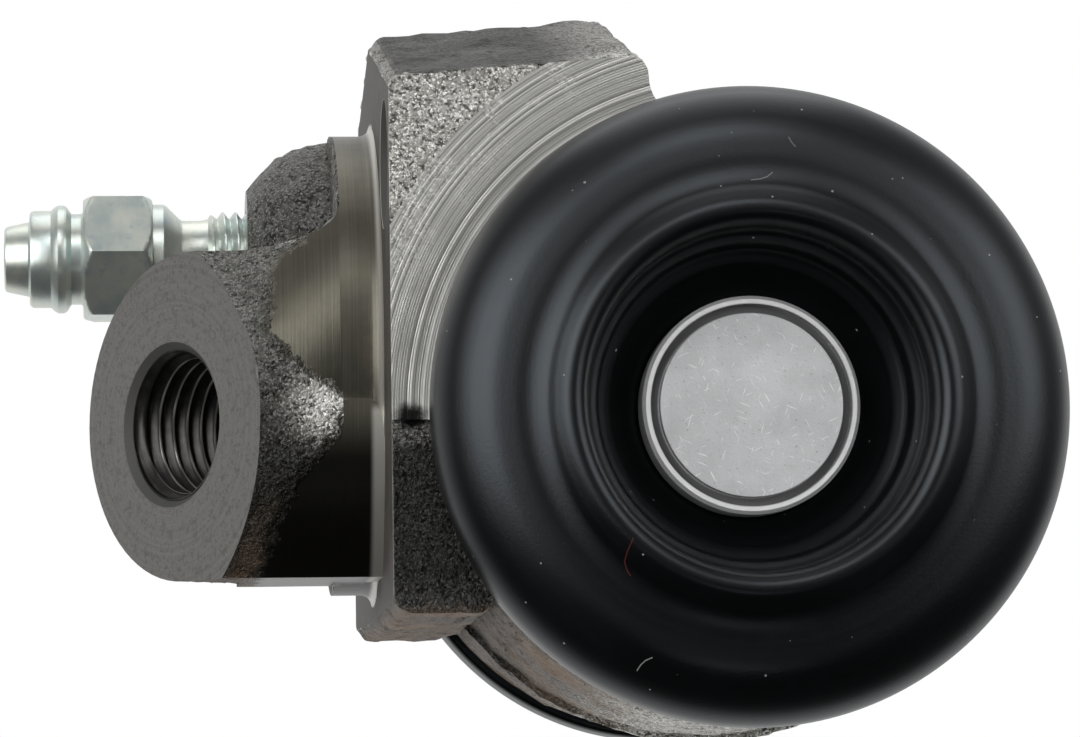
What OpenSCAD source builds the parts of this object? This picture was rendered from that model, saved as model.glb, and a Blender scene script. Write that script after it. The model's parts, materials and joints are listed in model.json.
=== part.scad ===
// Drum brake wheel cylinder: a cast iron body with a through bore, two pistons
// sealed by rubber cups and pushed apart by a spring, a boot over each end,
// an angled inlet port and a bleeder screw.
// The origin is the centre of the pilot on the mounting face. The bore runs along Y,
// the mounting face looks along -X, and +Z is up, towards the bleeder.

/* [Barrel] */
// Diameter of the through bore
bore_d = 25.4; // [23:0.1:27]
// Length of the body over both turned noses
barrel_len = 52; // [48:0.5:60]
// Cast diameter of the barrel at its shoulders
barrel_d = 36; // [35.4:0.1:38]
// Growth of the barrel's radius from a shoulder to the parting line
barrel_draft = 0.8; // [0.2:0.1:1.5]
// Diameter of the turned nose that carries a boot
nose_d = 33.2; // [31:0.1:35]
// Length of a turned nose, from the faced shoulder to its end
nose_len = 3.8; // [3:0.1:5]
// Depth of the groove round the nose that holds the boot's bead
bead_groove_depth = 0.9; // [0.5:0.05:1.2]
// Width of the groove round the nose
bead_groove_w = 1.4; // [1:0.1:1.6]
// Land between the groove and the shoulder
bead_groove_land = 0.7; // [0.4:0.1:1]
// Leg of the chamfer at each bore mouth
mouth_chamfer = 0.8; // [0.3:0.1:1.2]
// Height of the flash left along the parting line
flash_h = 0.4; // [0.1:0.05:0.6]
// Width of the flash left along the parting line
flash_w = 1.1; // [0.6:0.1:2]

/* [Mounting flange] */
// Distance from the mounting face to the bore axis
axis_setback = 20.8; // [20:0.1:24]
// Drop of the bore axis below the pilot's centre
axis_drop = 4.8; // [4:0.1:5]
// Thickness of the flange slab behind the mounting face
slab_t = 6; // [4:0.1:8]
// Reach of the slab below the pilot's centre, at its ends
slab_low_end = 16.6; // [16:0.1:18]
// Reach of the slab below the pilot's centre, at the parting line
slab_low_mid = 17; // [16.6:0.1:19]
// Height of the bolt lug above the pilot's centre, at its ends
lug_top_end = 15; // [14.6:0.1:17]
// Height of the bolt lug above the pilot's centre, at the parting line
lug_top_mid = 21; // [18:0.1:24]
// Depth of the bolt lug behind the mounting face
lug_depth = 15.4; // [14.5:0.1:18]
// Rise of the lug's top away from the mounting face, in degrees
lug_tilt = 4.5; // [0:0.5:8]
// Radius of the cast fillet between the lug and the barrel
cast_fillet_r = 2.6; // [1:0.1:3.5]
// Radius of the flange's cast edges
cast_edge_r = 1.1; // [0.5:0.1:1.2]
// Diameter swept by the cutter that faces the shoulders
facing_d = 47; // [42:0.5:50]
// Cast stock left below the faced shoulder plane on the flange's ends
facing_step = 0.5; // [0.2:0.1:1]

/* [Mounting bolts] */
// Distance between the two tapped bolt holes, along the bore
bolt_spread = 32.4; // [31.5:0.1:34]
// Height of the bolt holes above the pilot's centre
bolt_rise = 10.6; // [10:0.1:11.5]
// Diameter of the tapped bolt holes
bolt_tap_d = 6.6; // [5:0.1:7]
// Depth of the bolt holes
bolt_depth = 12; // [8:0.1:12.5]
// Leg of the chamfer at the mouth of a bolt hole
bolt_chamfer = 0.6; // [0.2:0.1:1]

/* [Pilot] */
// Diameter of the turned pilot
pilot_d = 29; // [28:0.1:31]
// Length of the turned pilot
pilot_len = 2.6; // [2:0.1:5]
// Length from the mounting face over which the pilot runs out into the inlet boss's flank
pilot_front_len = 8.6; // [6:0.1:9]
// Rise of the sweep from the top of the inlet boss up to the pilot's end
pilot_sweep = 2.2; // [1:0.1:4]
// Radius of the fillet between the pilot and the mounting face
pilot_fillet = 0.8; // [0.3:0.1:1.2]

/* [Inlet port] */
// Angle of the inlet from the pilot's axis, towards the front
inlet_angle = 34.5; // [25:0.5:40]
// Distance from the mounting face to the centre of the inlet's face
inlet_reach = 12.7; // [12:0.1:16]
// Drop of the inlet below the pilot's centre
inlet_drop = 4.2; // [4:0.1:5]
// Offset of the centre of the inlet's face towards the front
inlet_lean = 6.6; // [5:0.1:8]
// Diameter of the tapped inlet hole
inlet_thread_d = 9.4; // [8:0.1:10]
// Diameter of the chamfer at the inlet's mouth
inlet_mouth_d = 10.2; // [10.1:0.1:11.5]
// Depth of the tapped inlet hole
inlet_depth = 10.5; // [8:0.1:12]
// Height of the inlet's thread, down to the wall of its tap drill
inlet_thread_h = 0.35; // [0.2:0.05:0.6]
// Height of the tube seat at the bottom of the inlet
tube_seat_h = 2; // [1:0.1:3]
// Diameter of the tube seat where it meets the tube
tube_seat_d = 4.6; // [4:0.1:6]
// Diameter of the feed drilling from the seat to the bore
feed_d = 2.6; // [1.5:0.1:3]
// Angle of the feed drilling from the pilot's axis
feed_angle = 18; // [10:0.5:24]
// Radius of the boss round the inlet
inlet_boss_r = 10.1; // [9:0.1:11]
// Offset of the boss's round side from the inlet axis, towards the front
inlet_boss_shift = 1.2; // [0:0.1:2]
// Radius of the boss's front flank, about the pilot's axis
inlet_flank_r = 14.2; // [13.5:0.1:16]

/* [Bleeder port] */
// Height of the bleeder axis above the pilot's centre
bleeder_rise = 7.4; // [6.6:0.1:7.6]
// Offset of the bleeder axis towards the rear
bleeder_offset = 4.6; // [4.2:0.1:5.2]
// Distance from the mounting face to the flat end of the bleeder boss
bleeder_boss_reach = 7.7; // [7:0.1:8]
// Radius of the cast dome of the bleeder boss
bleeder_dome_r = 7.9; // [7.6:0.1:9]
// Distance from the mounting face to the centre of the dome
bleeder_dome_out = 1.1; // [0.8:0.1:2]
// Diameter of the drilling from the bleeder seat to the bore
bleed_d = 2.5; // [1.5:0.1:2.8]

/* [Bleeder screw] */
// Diameter of the screw's thread
screw_thread_d = 6; // [5:0.1:6.4]
// Distance from the mounting face back to the start of the screw's seat cone
screw_seat_depth = 1; // [0:0.1:4]
// Smallest diameter of the seat cone
screw_tip_d = 2.8; // [2.6:0.1:3.6]
// Length of thread that shows outside the boss
screw_thread_out = 2.4; // [1:0.1:4]
// Diameter of the neck between the thread and the hex
screw_neck_d = 4.9; // [4:0.1:5.2]
// Length of that neck
screw_neck_len = 1.7; // [0.5:0.1:3]
// Hex size across its flats
hex_af = 7.6; // [7:0.1:8]
// Length of the hex with its collar
hex_len = 6.3; // [5:0.1:8]
// Length of the round collar at the inner end of the hex
hex_collar_len = 1.9; // [1.2:0.1:2.4]
// Diameter of that collar
hex_collar_d = 7; // [6.4:0.1:7.2]
// Diameter of the waist between the hex and the hose nipple
waist_d = 5.8; // [4.6:0.1:6]
// Length of the waist
waist_len = 0.8; // [0.5:0.1:2]
// Diameter of the nipple's rib that grips a hose
rib_d = 6.9; // [6.4:0.1:7.6]
// Length of the rib
rib_len = 1.2; // [0.6:0.1:2]
// Diameter of the hose nipple
nipple_d = 6.2; // [5.8:0.1:6.4]
// Length of the hose nipple, up to its tapered tip
nipple_len = 1.4; // [1:0.1:3]
// Length of the tapered tip
tip_len = 1.6; // [1:0.1:3]
// Diameter of the tip where it meets the nipple
tip_base_d = 4.8; // [4:0.1:5.4]
// Diameter of the end of the tapered tip
tip_d = 4.2; // [3:0.1:4.8]
// Diameter of the drilling along the screw
screw_bore_d = 1.9; // [1:0.1:2.2]
// Diameter of the cross drilling behind the seat cone
screw_cross_d = 1.4; // [0.8:0.1:1.8]

/* [Pistons] */
// Radial clearance of a piston in the bore
piston_clear = 0.04; // [0.02:0.01:0.1]
// Length of a piston's full-diameter land
piston_land_len = 8; // [6:0.1:10]
// Length of a piston from its cup face to its nose face
piston_len = 12.4; // [11.5:0.1:14]
// Set-back of a piston's nose face from the end of the body
piston_setback = 1; // [0.5:0.1:2]
// Diameter of a piston's nose
piston_nose_d = 12.8; // [11:0.1:14]
// Outer diameter of the ring groove in the nose face
ring_groove_d = 11.85; // [10:0.05:12]
// Width of the ring groove in the nose face
ring_groove_w = 0.56; // [0.3:0.02:1]
// Depth of the ring groove in the nose face
ring_groove_depth = 0.8; // [0.3:0.1:1.5]
// Leg of the chamfer at the nose's edge
nose_chamfer = 0.2; // [0.1:0.05:0.5]
// Length of the nose's rim in front of the groove for the boot's lip
nose_rim_len = 2.5; // [2.2:0.1:2.6]
// Width of the groove for the boot's lip
lip_groove_w = 1.6; // [1.2:0.1:1.8]
// Depth of the groove for the boot's lip
lip_groove_depth = 1; // [0.5:0.1:1.5]

/* [Cups] */
// Height of a cup, from its back to its lip
cup_h = 5.2; // [4.6:0.1:5.4]
// Thickness of a cup's back
cup_back_t = 2.2; // [1.8:0.1:2.6]
// Thickness of a cup's wall at its back
cup_wall_t = 2.6; // [2:0.1:3]
// Clearance of a cup's lip in the bore
cup_clear = 0.06; // [0.03:0.01:0.12]
// Thickness of a cup's lip
cup_lip_t = 0.9; // [0.6:0.1:1.4]
// Relief of a cup's heel from the bore
cup_heel_relief = 0.4; // [0.2:0.1:0.8]

/* [Cup expanders and spring] */
// Thickness of an expander's sheet
expander_t = 0.5; // [0.4:0.05:0.7]
// Height of an expander's flared rim
expander_h = 2.2; // [1.5:0.1:2.6]
// Diameter of the hole in an expander
expander_hole_d = 6; // [4:0.1:8]
// Height of the expander's collar, which centres the spring
expander_collar_h = 1.5; // [1:0.1:1.8]
// Clearance between an expander's rim and the cup's wall
expander_clear = 0.1; // [0.05:0.05:0.3]
// Outer diameter of the return spring
spring_d = 12; // [10:0.1:14]
// Wire diameter of the return spring
spring_wire_d = 1; // [0.8:0.05:1.2]
// Number of free turns of the return spring
spring_turns = 4; // [3:1:6]
// Gap between the spring's ends and the expanders
spring_clear = 0.05; // [0.02:0.01:0.1]

/* [Boots] */
// Largest diameter of a boot, at its rim
boot_d = 37.5; // [37:0.1:40]
// Distance from the end of the nose back to the boot's rim
boot_rim_back = 1; // [0.5:0.1:1.5]
// Diameter of the boot's front ridge
boot_ridge_d = 22; // [20:0.1:24]
// Projection of the boot's front ridge beyond the end of the nose
boot_ridge_out = 4.4; // [3.6:0.1:5]
// Radius of the rounded front ridge
boot_ridge_r = 1.3; // [1:0.1:1.8]
// Thickness of the boot's walls
boot_wall = 1.5; // [1.2:0.1:1.8]
// Diameter of the boot's inner ridge, round the piston's nose
boot_inner_d = 16.4; // [15:0.1:18]
// Set-back of the inner ridge from the end of the nose
boot_inner_back = 0.6; // [0.2:0.1:1.5]
// Radius of the soft folds inside the boot's funnel
boot_fold_r = 0.7; // [0.4:0.05:0.9]
// Clearance of the boot from the nose and the piston
boot_clear = 0.12; // [0.05:0.01:0.2]

/* [Hidden] */
$fn = 96;

front = -1;
rear = 1;
iron = [0.36, 0.35, 0.33];
zinc = [0.74, 0.77, 0.78];
steel = [0.66, 0.67, 0.68];
rubber = [0.07, 0.07, 0.075];

// Overlap that makes cuts pass clean through a face
cut = 0.5;
// Reach of the blocks that trim a casting, beyond any part of it
far = 60;

bore_r = bore_d / 2;
barrel_r = barrel_d / 2;
barrel_mid_r = barrel_r + barrel_draft;
nose_r = nose_d / 2;
nose_end_y = barrel_len / 2;
shoulder_y = nose_end_y - nose_len;
nose_edge = 0.4;

// The cast ends of the flange lie just below the plane of the faced shoulders
flange_end_y = shoulder_y - facing_step;
roof_fall = atan((lug_top_mid - lug_top_end) / shoulder_y);
foot_rise = atan((slab_low_mid - slab_low_end) / shoulder_y);
edge_steps = 6;
lug_over_barrel = -axis_drop + sqrt(pow(barrel_r, 2) - pow(axis_setback - lug_depth, 2));
facing_low = axis_drop + facing_step;

pilot_r = pilot_d / 2;
// Inset that starts the run-out just inside the pilot
runout_inset = 0.02;
sweep_steps = 16;

inlet_r = inlet_thread_d / 2;
inlet_boss_lift = 0.4;
inlet_boss_top = inlet_boss_lift - inlet_drop + inlet_boss_r;
inlet_boss_low = inlet_boss_lift - inlet_drop - inlet_boss_r;
inlet_boss_len = 2 * inlet_boss_r + inlet_reach;
// The drill point below the thread leaves the conical tube seat standing in the middle
inlet_floor = inlet_depth + tube_seat_h;
inlet_drill_r = inlet_r - inlet_thread_h;

screw_r = screw_thread_d / 2;
screw_clear = 0.05;
seat_gap = 0.02;
thread_end = bleeder_boss_reach + screw_thread_out;
hex_start = thread_end + screw_neck_len;
hex_end = hex_start + hex_len;
hex_r = hex_af / 2 / cos(30);
// The hex's chamfer cuts just past the middle of its flats
hex_chamfer_past = 0.06;
hex_chamfer = hex_r - hex_af / 2 + hex_chamfer_past;
collar_cone = (hex_collar_d - screw_neck_d) / 2;
rib_start = hex_end + waist_len;
nipple_start = rib_start + rib_len;
nipple_end = nipple_start + nipple_len;
tip_end = nipple_end + tip_len;
tip_edge = 0.2;

piston_r = bore_r - piston_clear;
piston_nose_r = piston_nose_d / 2;
piston_face = nose_end_y - piston_setback;
piston_back = piston_face - piston_len;
piston_shoulder = piston_back + piston_land_len;
piston_edge = 0.4;
lip_groove_out = piston_face - nose_rim_len;
lip_groove_in = lip_groove_out - lip_groove_w;
lip_groove_r = piston_nose_r - lip_groove_depth;

cup_lip = piston_back - cup_h;
cup_floor = piston_back - cup_back_t;
cup_lip_r = bore_r - cup_clear;
cup_floor_r = bore_r - cup_wall_t;
cup_flare = (cup_lip_r - cup_lip_t - cup_floor_r) / (cup_floor - cup_lip);

expander_floor = cup_floor - expander_t;
expander_lip = cup_floor - expander_h;
collar_clear = 0.2;
collar_r = spring_d / 2 - spring_wire_d - collar_clear;
collar_lip = expander_floor - expander_collar_h;

spring_half = expander_floor - spring_clear - spring_wire_d / 2;
spring_coil_r = (spring_d - spring_wire_d) / 2;
dead_turn_gap = 0.04;
dead_pitch = spring_wire_d + dead_turn_gap;
free_pitch = 2 * (spring_half - dead_pitch) / spring_turns;
spring_steps = 20;
wire_sides = 8;

boot_r = boot_d / 2;
boot_rim = nose_end_y - boot_rim_back;
boot_ridge = nose_end_y + boot_ridge_out;
boot_foot_gap = 0.3;
boot_foot_taper = 0.36;
boot_foot = shoulder_y + boot_foot_gap;
boot_seat_r = nose_r + boot_clear;
bead_in = shoulder_y + bead_groove_land + boot_clear;
bead_out = shoulder_y + bead_groove_land + bead_groove_w - boot_clear;
bead_r = nose_r - bead_groove_depth + boot_clear;
boot_ridge_mid_r = boot_ridge_d / 2;
boot_inner_r = boot_inner_d / 2;
boot_inner = nose_end_y - boot_inner_back;
boot_lip_out = lip_groove_out - boot_clear;
boot_lip_in = lip_groove_in + boot_clear;
boot_lip_r = lip_groove_r + boot_clear;
boot_nose_r = piston_nose_r + boot_clear;

// Points along an elliptical arc, from one angle to another
function arc(centre, rx, ry, from, to, steps) =
    [for (i = [0:steps]) let (a = from + (to - from) * i / steps)
        centre + [rx * cos(a), ry * sin(a)]];

// Puts a revolved shape on the bore axis, its height pointing out of the named end
module along_bore(side) {
    translate([axis_setback, 0, -axis_drop])
        rotate([-90 * side, 0, 0])
            children();
}

// Puts a shape on the inlet's face: Z out of the face, X along it to the front, Y up
module at_inlet() {
    translate([-inlet_reach, -inlet_lean, -inlet_drop])
        rotate([90, 0, inlet_angle - 90])
            children();
}

// Puts a shape on the bleeder axis, its height counted out from the mounting face
module at_bleeder() {
    translate([0, bleeder_offset, bleeder_rise])
        rotate([0, -90, 0])
            children();
}

// Puts a shape on the pilot's axis, its height counted out from the mounting face
module at_pilot() {
    rotate([0, -90, 0])
        children();
}

// One half of the turned and cast barrel, from the parting line out to its nose
module barrel_half() {
    groove_in = shoulder_y + bead_groove_land;
    groove_out = groove_in + bead_groove_w;
    rotate_extrude()
        polygon([
            [0, 0], [barrel_mid_r + flash_h, 0], [barrel_mid_r + flash_h, flash_w / 4],
            [barrel_mid_r, flash_w / 2], [barrel_r, shoulder_y],
            [nose_r, shoulder_y], [nose_r, groove_in], [nose_r - bead_groove_depth, groove_in],
            [nose_r - bead_groove_depth, groove_out], [nose_r, groove_out],
            [nose_r, nose_end_y - nose_edge], [nose_r - nose_edge, nose_end_y], [0, nose_end_y]
        ]);
}

// Stands a section up across the bore, centred at a distance along it
module across_bore(y, len) {
    translate([0, y, 0])
        rotate([90, 0, 0])
            linear_extrude(len, center = true)
                children();
}

// Points round a cast edge of the flange's top, which rises away from the mounting face
function roof_edge(x, from, to) =
    arc([x, x * tan(lug_tilt) - cast_edge_r / cos(lug_tilt)], cast_edge_r, cast_edge_r,
        from, to, edge_steps);

// A block with a round-edged top that falls from the parting line to one end
module cast_roof(depth, side) {
    translate([0, 0, lug_top_mid])
        rotate([-side * roof_fall, 0, 0])
            across_bore(0, 2 * far)
                polygon(concat(
                    [[0, -far], [depth, -far]],
                    roof_edge(depth - cast_edge_r, 0, 90 + lug_tilt),
                    roof_edge(cast_edge_r, 90 + lug_tilt, 180)));
}

// A block as thick as the slab, with a round-edged foot that rises to one end
module cast_foot(side) {
    translate([0, 0, -slab_low_mid])
        rotate([side * foot_rise, 0, 0])
            across_bore(0, 2 * far)
                polygon(concat(
                    [[slab_t, far], [0, far]],
                    arc([cast_edge_r, cast_edge_r], cast_edge_r, cast_edge_r, 180, 270, edge_steps),
                    arc([slab_t - cast_edge_r, cast_edge_r], cast_edge_r, cast_edge_r, 270, 360,
                        edge_steps)));
}

// The flange is a thin slab with a deep lug above, and a fillet onto the barrel
module flange(half_len) {
    intersection() {
        union() {
            intersection() {
                cast_roof(slab_t, front);
                cast_roof(slab_t, rear);
                cast_foot(front);
                cast_foot(rear);
            }
            intersection() {
                cast_roof(lug_depth, front);
                cast_roof(lug_depth, rear);
                translate([-far, -far, -axis_drop])
                    cube(2 * far);
            }
            across_bore(0, far)
                difference() {
                    translate([lug_depth - cut, lug_over_barrel - cast_fillet_r])
                        square([cast_fillet_r + cut, 2 * cast_fillet_r]);
                    translate([lug_depth + cast_fillet_r, lug_over_barrel + cast_fillet_r])
                        circle(r = cast_fillet_r);
                }
        }
        cube([2 * far, 2 * half_len, 2 * far], center = true);
    }
}

// Where the facing cutter reached the flange's ends and left them flush with the shoulders
module faced_pads() {
    intersection() {
        flange(shoulder_y);
        along_bore(rear)
            translate([0, 0, -far / 2])
                cylinder(d = facing_d, h = far);
        translate([-far, -far, -facing_low])
            cube(2 * far);
    }
}

module pilot() {
    at_pilot() {
        translate([0, 0, -slab_t / 2])
            cylinder(r = pilot_r, h = pilot_len + slab_t / 2);
        rotate_extrude()
            difference() {
                square([pilot_r + pilot_fillet, pilot_fillet]);
                translate([pilot_r + pilot_fillet, pilot_fillet])
                    circle(r = pilot_fillet);
            }
    }
    pilot_runout();
}

// The front of the pilot runs out into the flank of the inlet boss, under a concave sweep
module pilot_runout() {
    sweep_len = pilot_front_len - pilot_len;
    sweep_top = inlet_boss_top + pilot_sweep;
    lean = -axis_drop / sweep_len;
    intersection() {
        at_pilot()
            translate([0, 0, pilot_len - runout_inset])
                multmatrix([[1, 0, lean, 0], [0, 1, 0, 0], [0, 0, 1, 0], [0, 0, 0, 1]])
                    cylinder(r1 = pilot_r - runout_inset, r2 = inlet_flank_r, h = sweep_len);
        across_bore(-far / 2, far)
            polygon(concat(
                arc([-pilot_front_len, sweep_top], sweep_len, pilot_sweep, 270, 360, sweep_steps),
                [[slab_t / 2, sweep_top], [slab_t / 2, inlet_boss_low],
                    [-pilot_front_len, inlet_boss_low]]));
    }
}

// The inlet boss is round about the inlet at the back, and follows a larger round at the front
module inlet_boss() {
    intersection() {
        at_inlet()
            translate([inlet_boss_shift, inlet_boss_lift, -inlet_boss_len])
                linear_extrude(inlet_boss_len) {
                    circle(r = inlet_boss_r);
                    translate([0, -inlet_boss_r])
                        square([far / 2, 2 * inlet_boss_r]);
                }
        translate([0, 0, -axis_drop])
            at_pilot()
                translate([0, 0, -slab_t / 2])
                    cylinder(r = inlet_flank_r, h = far / 2);
        union() {
            translate([-far, -far, -far / 2])
                cube([2 * far, far, far]);
            at_pilot()
                translate([0, 0, -slab_t / 2])
                    cylinder(r = pilot_r, h = far / 2);
        }
    }
}

// The bleeder boss is a cast dome with a flat spot, kept inside the pilot
module bleeder_boss() {
    intersection() {
        at_bleeder()
            translate([0, 0, bleeder_dome_out])
                sphere(r = bleeder_dome_r);
        at_pilot()
            translate([0, 0, -slab_t / 2])
                cylinder(r = pilot_r, h = bleeder_boss_reach + slab_t / 2);
    }
}

module bore_cuts() {
    along_bore(rear)
        translate([0, 0, -nose_end_y - cut])
            cylinder(r = bore_r, h = barrel_len + 2 * cut);
    for (side = [front, rear])
        along_bore(side)
            translate([0, 0, nose_end_y - mouth_chamfer])
                cylinder(r1 = bore_r, r2 = bore_r + 2 * mouth_chamfer, h = 2 * mouth_chamfer);
}

// Tapped hole with a mouth chamfer, a conical tube seat at its foot and a feed to the bore
module inlet_cuts() {
    at_inlet() {
        mouth = (inlet_mouth_d - inlet_thread_d) / 2;
        translate([0, -inlet_boss_r, 0])
            cube([2 * inlet_boss_r, 2 * inlet_boss_r, pilot_len]);
        translate([0, 0, -inlet_depth])
            cylinder(r = inlet_r, h = inlet_depth + cut);
        translate([0, 0, -mouth])
            cylinder(r1 = inlet_r, r2 = inlet_r + 2 * mouth, h = 2 * mouth);
        difference() {
            translate([0, 0, -inlet_floor])
                cylinder(r = inlet_drill_r, h = tube_seat_h + cut);
            translate([0, 0, -inlet_floor - cut])
                cylinder(d1 = tube_seat_d + 2 * tube_seat_h + 2 * cut, d2 = tube_seat_d,
                    h = tube_seat_h + cut);
        }
    }
    seat_x = -inlet_reach + inlet_depth * cos(inlet_angle);
    seat_y = -inlet_lean + inlet_depth * sin(inlet_angle);
    translate([seat_x, seat_y, -inlet_drop])
        rotate([0, 90, feed_angle])
            translate([0, 0, -feed_d / 2])
                cylinder(d = feed_d, h = axis_setback - seat_x);
}

// Tapped hole with a conical seat for the screw and a drilling to the top of the bore
module bleeder_cuts() {
    at_bleeder() {
        seat_drop = screw_r + screw_clear - bleed_d / 2;
        translate([0, 0, -screw_seat_depth - seat_gap])
            cylinder(r = screw_r + screw_clear, h = bleeder_boss_reach + far / 4);
        translate([0, 0, -screw_seat_depth - seat_gap - seat_drop])
            cylinder(r1 = bleed_d / 2, r2 = screw_r + screw_clear, h = seat_drop);
        translate([0, 0, -axis_setback])
            cylinder(d = bleed_d, h = axis_setback - screw_seat_depth);
    }
}

module bolt_cuts() {
    for (side = [front, rear])
        translate([0, side * bolt_spread / 2, bolt_rise])
            at_pilot() {
                translate([0, 0, -bolt_depth])
                    cylinder(d = bolt_tap_d, h = bolt_depth + cut);
                translate([0, 0, -bolt_depth - bolt_tap_d / 4])
                    cylinder(d1 = 0, d2 = bolt_tap_d, h = bolt_tap_d / 4);
                translate([0, 0, -bolt_chamfer])
                    cylinder(d1 = bolt_tap_d, d2 = bolt_tap_d + 4 * bolt_chamfer,
                        h = 2 * bolt_chamfer);
            }
}

module body() {
    color(iron)
        difference() {
            union() {
                for (side = [front, rear])
                    along_bore(side)
                        barrel_half();
                flange(flange_end_y);
                faced_pads();
                pilot();
                inlet_boss();
                bleeder_boss();
            }
            bore_cuts();
            inlet_cuts();
            bleeder_cuts();
            bolt_cuts();
        }
}

// Hollow screw with a seat cone, a hex with a round collar, and a ribbed hose nipple
module bleeder_screw() {
    color(zinc)
        at_bleeder()
            difference() {
                union() {
                    rotate_extrude()
                        polygon([
                            [0, -screw_seat_depth - screw_r + screw_tip_d / 2],
                            [screw_tip_d / 2, -screw_seat_depth - screw_r + screw_tip_d / 2],
                            [screw_r, -screw_seat_depth], [screw_r, thread_end],
                            [screw_neck_d / 2, thread_end + screw_r - screw_neck_d / 2],
                            [screw_neck_d / 2, hex_start],
                            [hex_collar_d / 2, hex_start + collar_cone],
                            [hex_collar_d / 2, hex_start + hex_collar_len + hex_chamfer],
                            [waist_d / 2, hex_end - hex_chamfer], [waist_d / 2, rib_start],
                            [rib_d / 2, rib_start + rib_len / 3],
                            [rib_d / 2, nipple_start - rib_len / 3],
                            [nipple_d / 2, nipple_start], [nipple_d / 2, nipple_end - tip_edge],
                            [nipple_d / 2 - tip_edge, nipple_end], [tip_base_d / 2, nipple_end],
                            [tip_d / 2, tip_end - tip_edge], [tip_d / 2 - tip_edge, tip_end],
                            [0, tip_end]
                        ]);
                    intersection() {
                        translate([0, 0, hex_start + hex_collar_len])
                            rotate([0, 0, 30])
                                cylinder(r = hex_r, h = hex_len - hex_collar_len, $fn = 6);
                        rotate_extrude()
                            polygon([
                                [0, hex_start], [hex_r - hex_chamfer, hex_start + hex_collar_len],
                                [hex_r, hex_start + hex_collar_len + hex_chamfer],
                                [hex_r, hex_end - hex_chamfer], [hex_r - hex_chamfer, hex_end],
                                [0, hex_end]
                            ]);
                    }
                }
                translate([0, 0, -screw_seat_depth + screw_cross_d])
                    cylinder(d = screw_bore_d, h = tip_end + far / 4);
                translate([0, 0, -screw_seat_depth + screw_cross_d])
                    rotate([90, 0, 0])
                        cylinder(d = screw_cross_d, h = 2 * screw_thread_d, center = true);
            }
}

module piston(side) {
    color(steel)
        along_bore(side)
            rotate_extrude()
                polygon([
                    [0, piston_back], [piston_r - piston_edge, piston_back],
                    [piston_r, piston_back + piston_edge], [piston_r, piston_shoulder - piston_edge],
                    [piston_r - piston_edge, piston_shoulder], [piston_nose_r, piston_shoulder],
                    [piston_nose_r, lip_groove_in], [lip_groove_r, lip_groove_in],
                    [lip_groove_r, lip_groove_out], [piston_nose_r, lip_groove_out],
                    [piston_nose_r, piston_face - nose_chamfer],
                    [piston_nose_r - nose_chamfer, piston_face],
                    [ring_groove_d / 2, piston_face],
                    [ring_groove_d / 2, piston_face - ring_groove_depth],
                    [ring_groove_d / 2 - ring_groove_w, piston_face - ring_groove_depth],
                    [ring_groove_d / 2 - ring_groove_w, piston_face], [0, piston_face]
                ]);
}

// Rubber cup with a lip that flares out to the bore
module cup(side) {
    color(rubber)
        along_bore(side)
            rotate_extrude()
                polygon([
                    [0, piston_back], [cup_lip_r - cup_heel_relief, piston_back],
                    [cup_lip_r, cup_floor], [cup_lip_r, cup_lip],
                    [cup_lip_r - cup_lip_t, cup_lip], [cup_floor_r, cup_floor], [0, cup_floor]
                ]);
}

// Pressed sheet ring that holds a cup's lip out and centres the spring on its collar
module cup_expander(side) {
    rim_base_r = cup_floor_r - expander_clear;
    rim_r = rim_base_r + cup_flare * expander_h;
    color(zinc)
        along_bore(side)
            rotate_extrude()
                polygon([
                    [collar_r - expander_t, cup_floor], [rim_base_r, cup_floor],
                    [rim_r, expander_lip], [rim_r - expander_t, expander_lip],
                    [rim_base_r - expander_t, expander_floor], [collar_r, expander_floor],
                    [collar_r, collar_lip], [collar_r - expander_t, collar_lip]
                ]);
}

// Height of the spring's wire after a number of turns: closed ends, an even pitch between
function spring_height(turn) =
    turn < 1 ? -spring_half + dead_pitch * turn :
    turn > spring_turns + 1 ? spring_half - dead_pitch * (spring_turns + 2 - turn) :
    -spring_half + dead_pitch + free_pitch * (turn - 1);

module return_spring() {
    rings = (spring_turns + 2) * spring_steps;
    points = [for (i = [0:rings]) for (k = [0:wire_sides - 1])
        let (a = 360 * i / spring_steps, b = 360 * k / wire_sides,
            r = spring_coil_r + spring_wire_d / 2 * cos(b))
            [r * cos(a), r * sin(a), spring_height(i / spring_steps) + spring_wire_d / 2 * sin(b)]];
    sides = [for (i = [0:rings - 1]) for (k = [0:wire_sides - 1])
        let (n = (k + 1) % wire_sides, p = i * wire_sides, q = p + wire_sides)
            [p + k, q + k, q + n, p + n]];
    ends = [[for (k = [0:wire_sides - 1]) k],
        [for (k = [0:wire_sides - 1]) rings * wire_sides + wire_sides - 1 - k]];
    color(steel)
        along_bore(rear)
            polyhedron(points, concat(sides, ends));
}

// Angles of the boot's arcs, counted from straight out of the bore axis
dome_top = 82;
ridge_from = 35;
ridge_to = 165;
fold_from = 60;
fold_to = 180;
// Share of the wall by which the back of a fold is offset each way
fold_back = 0.6;

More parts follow.
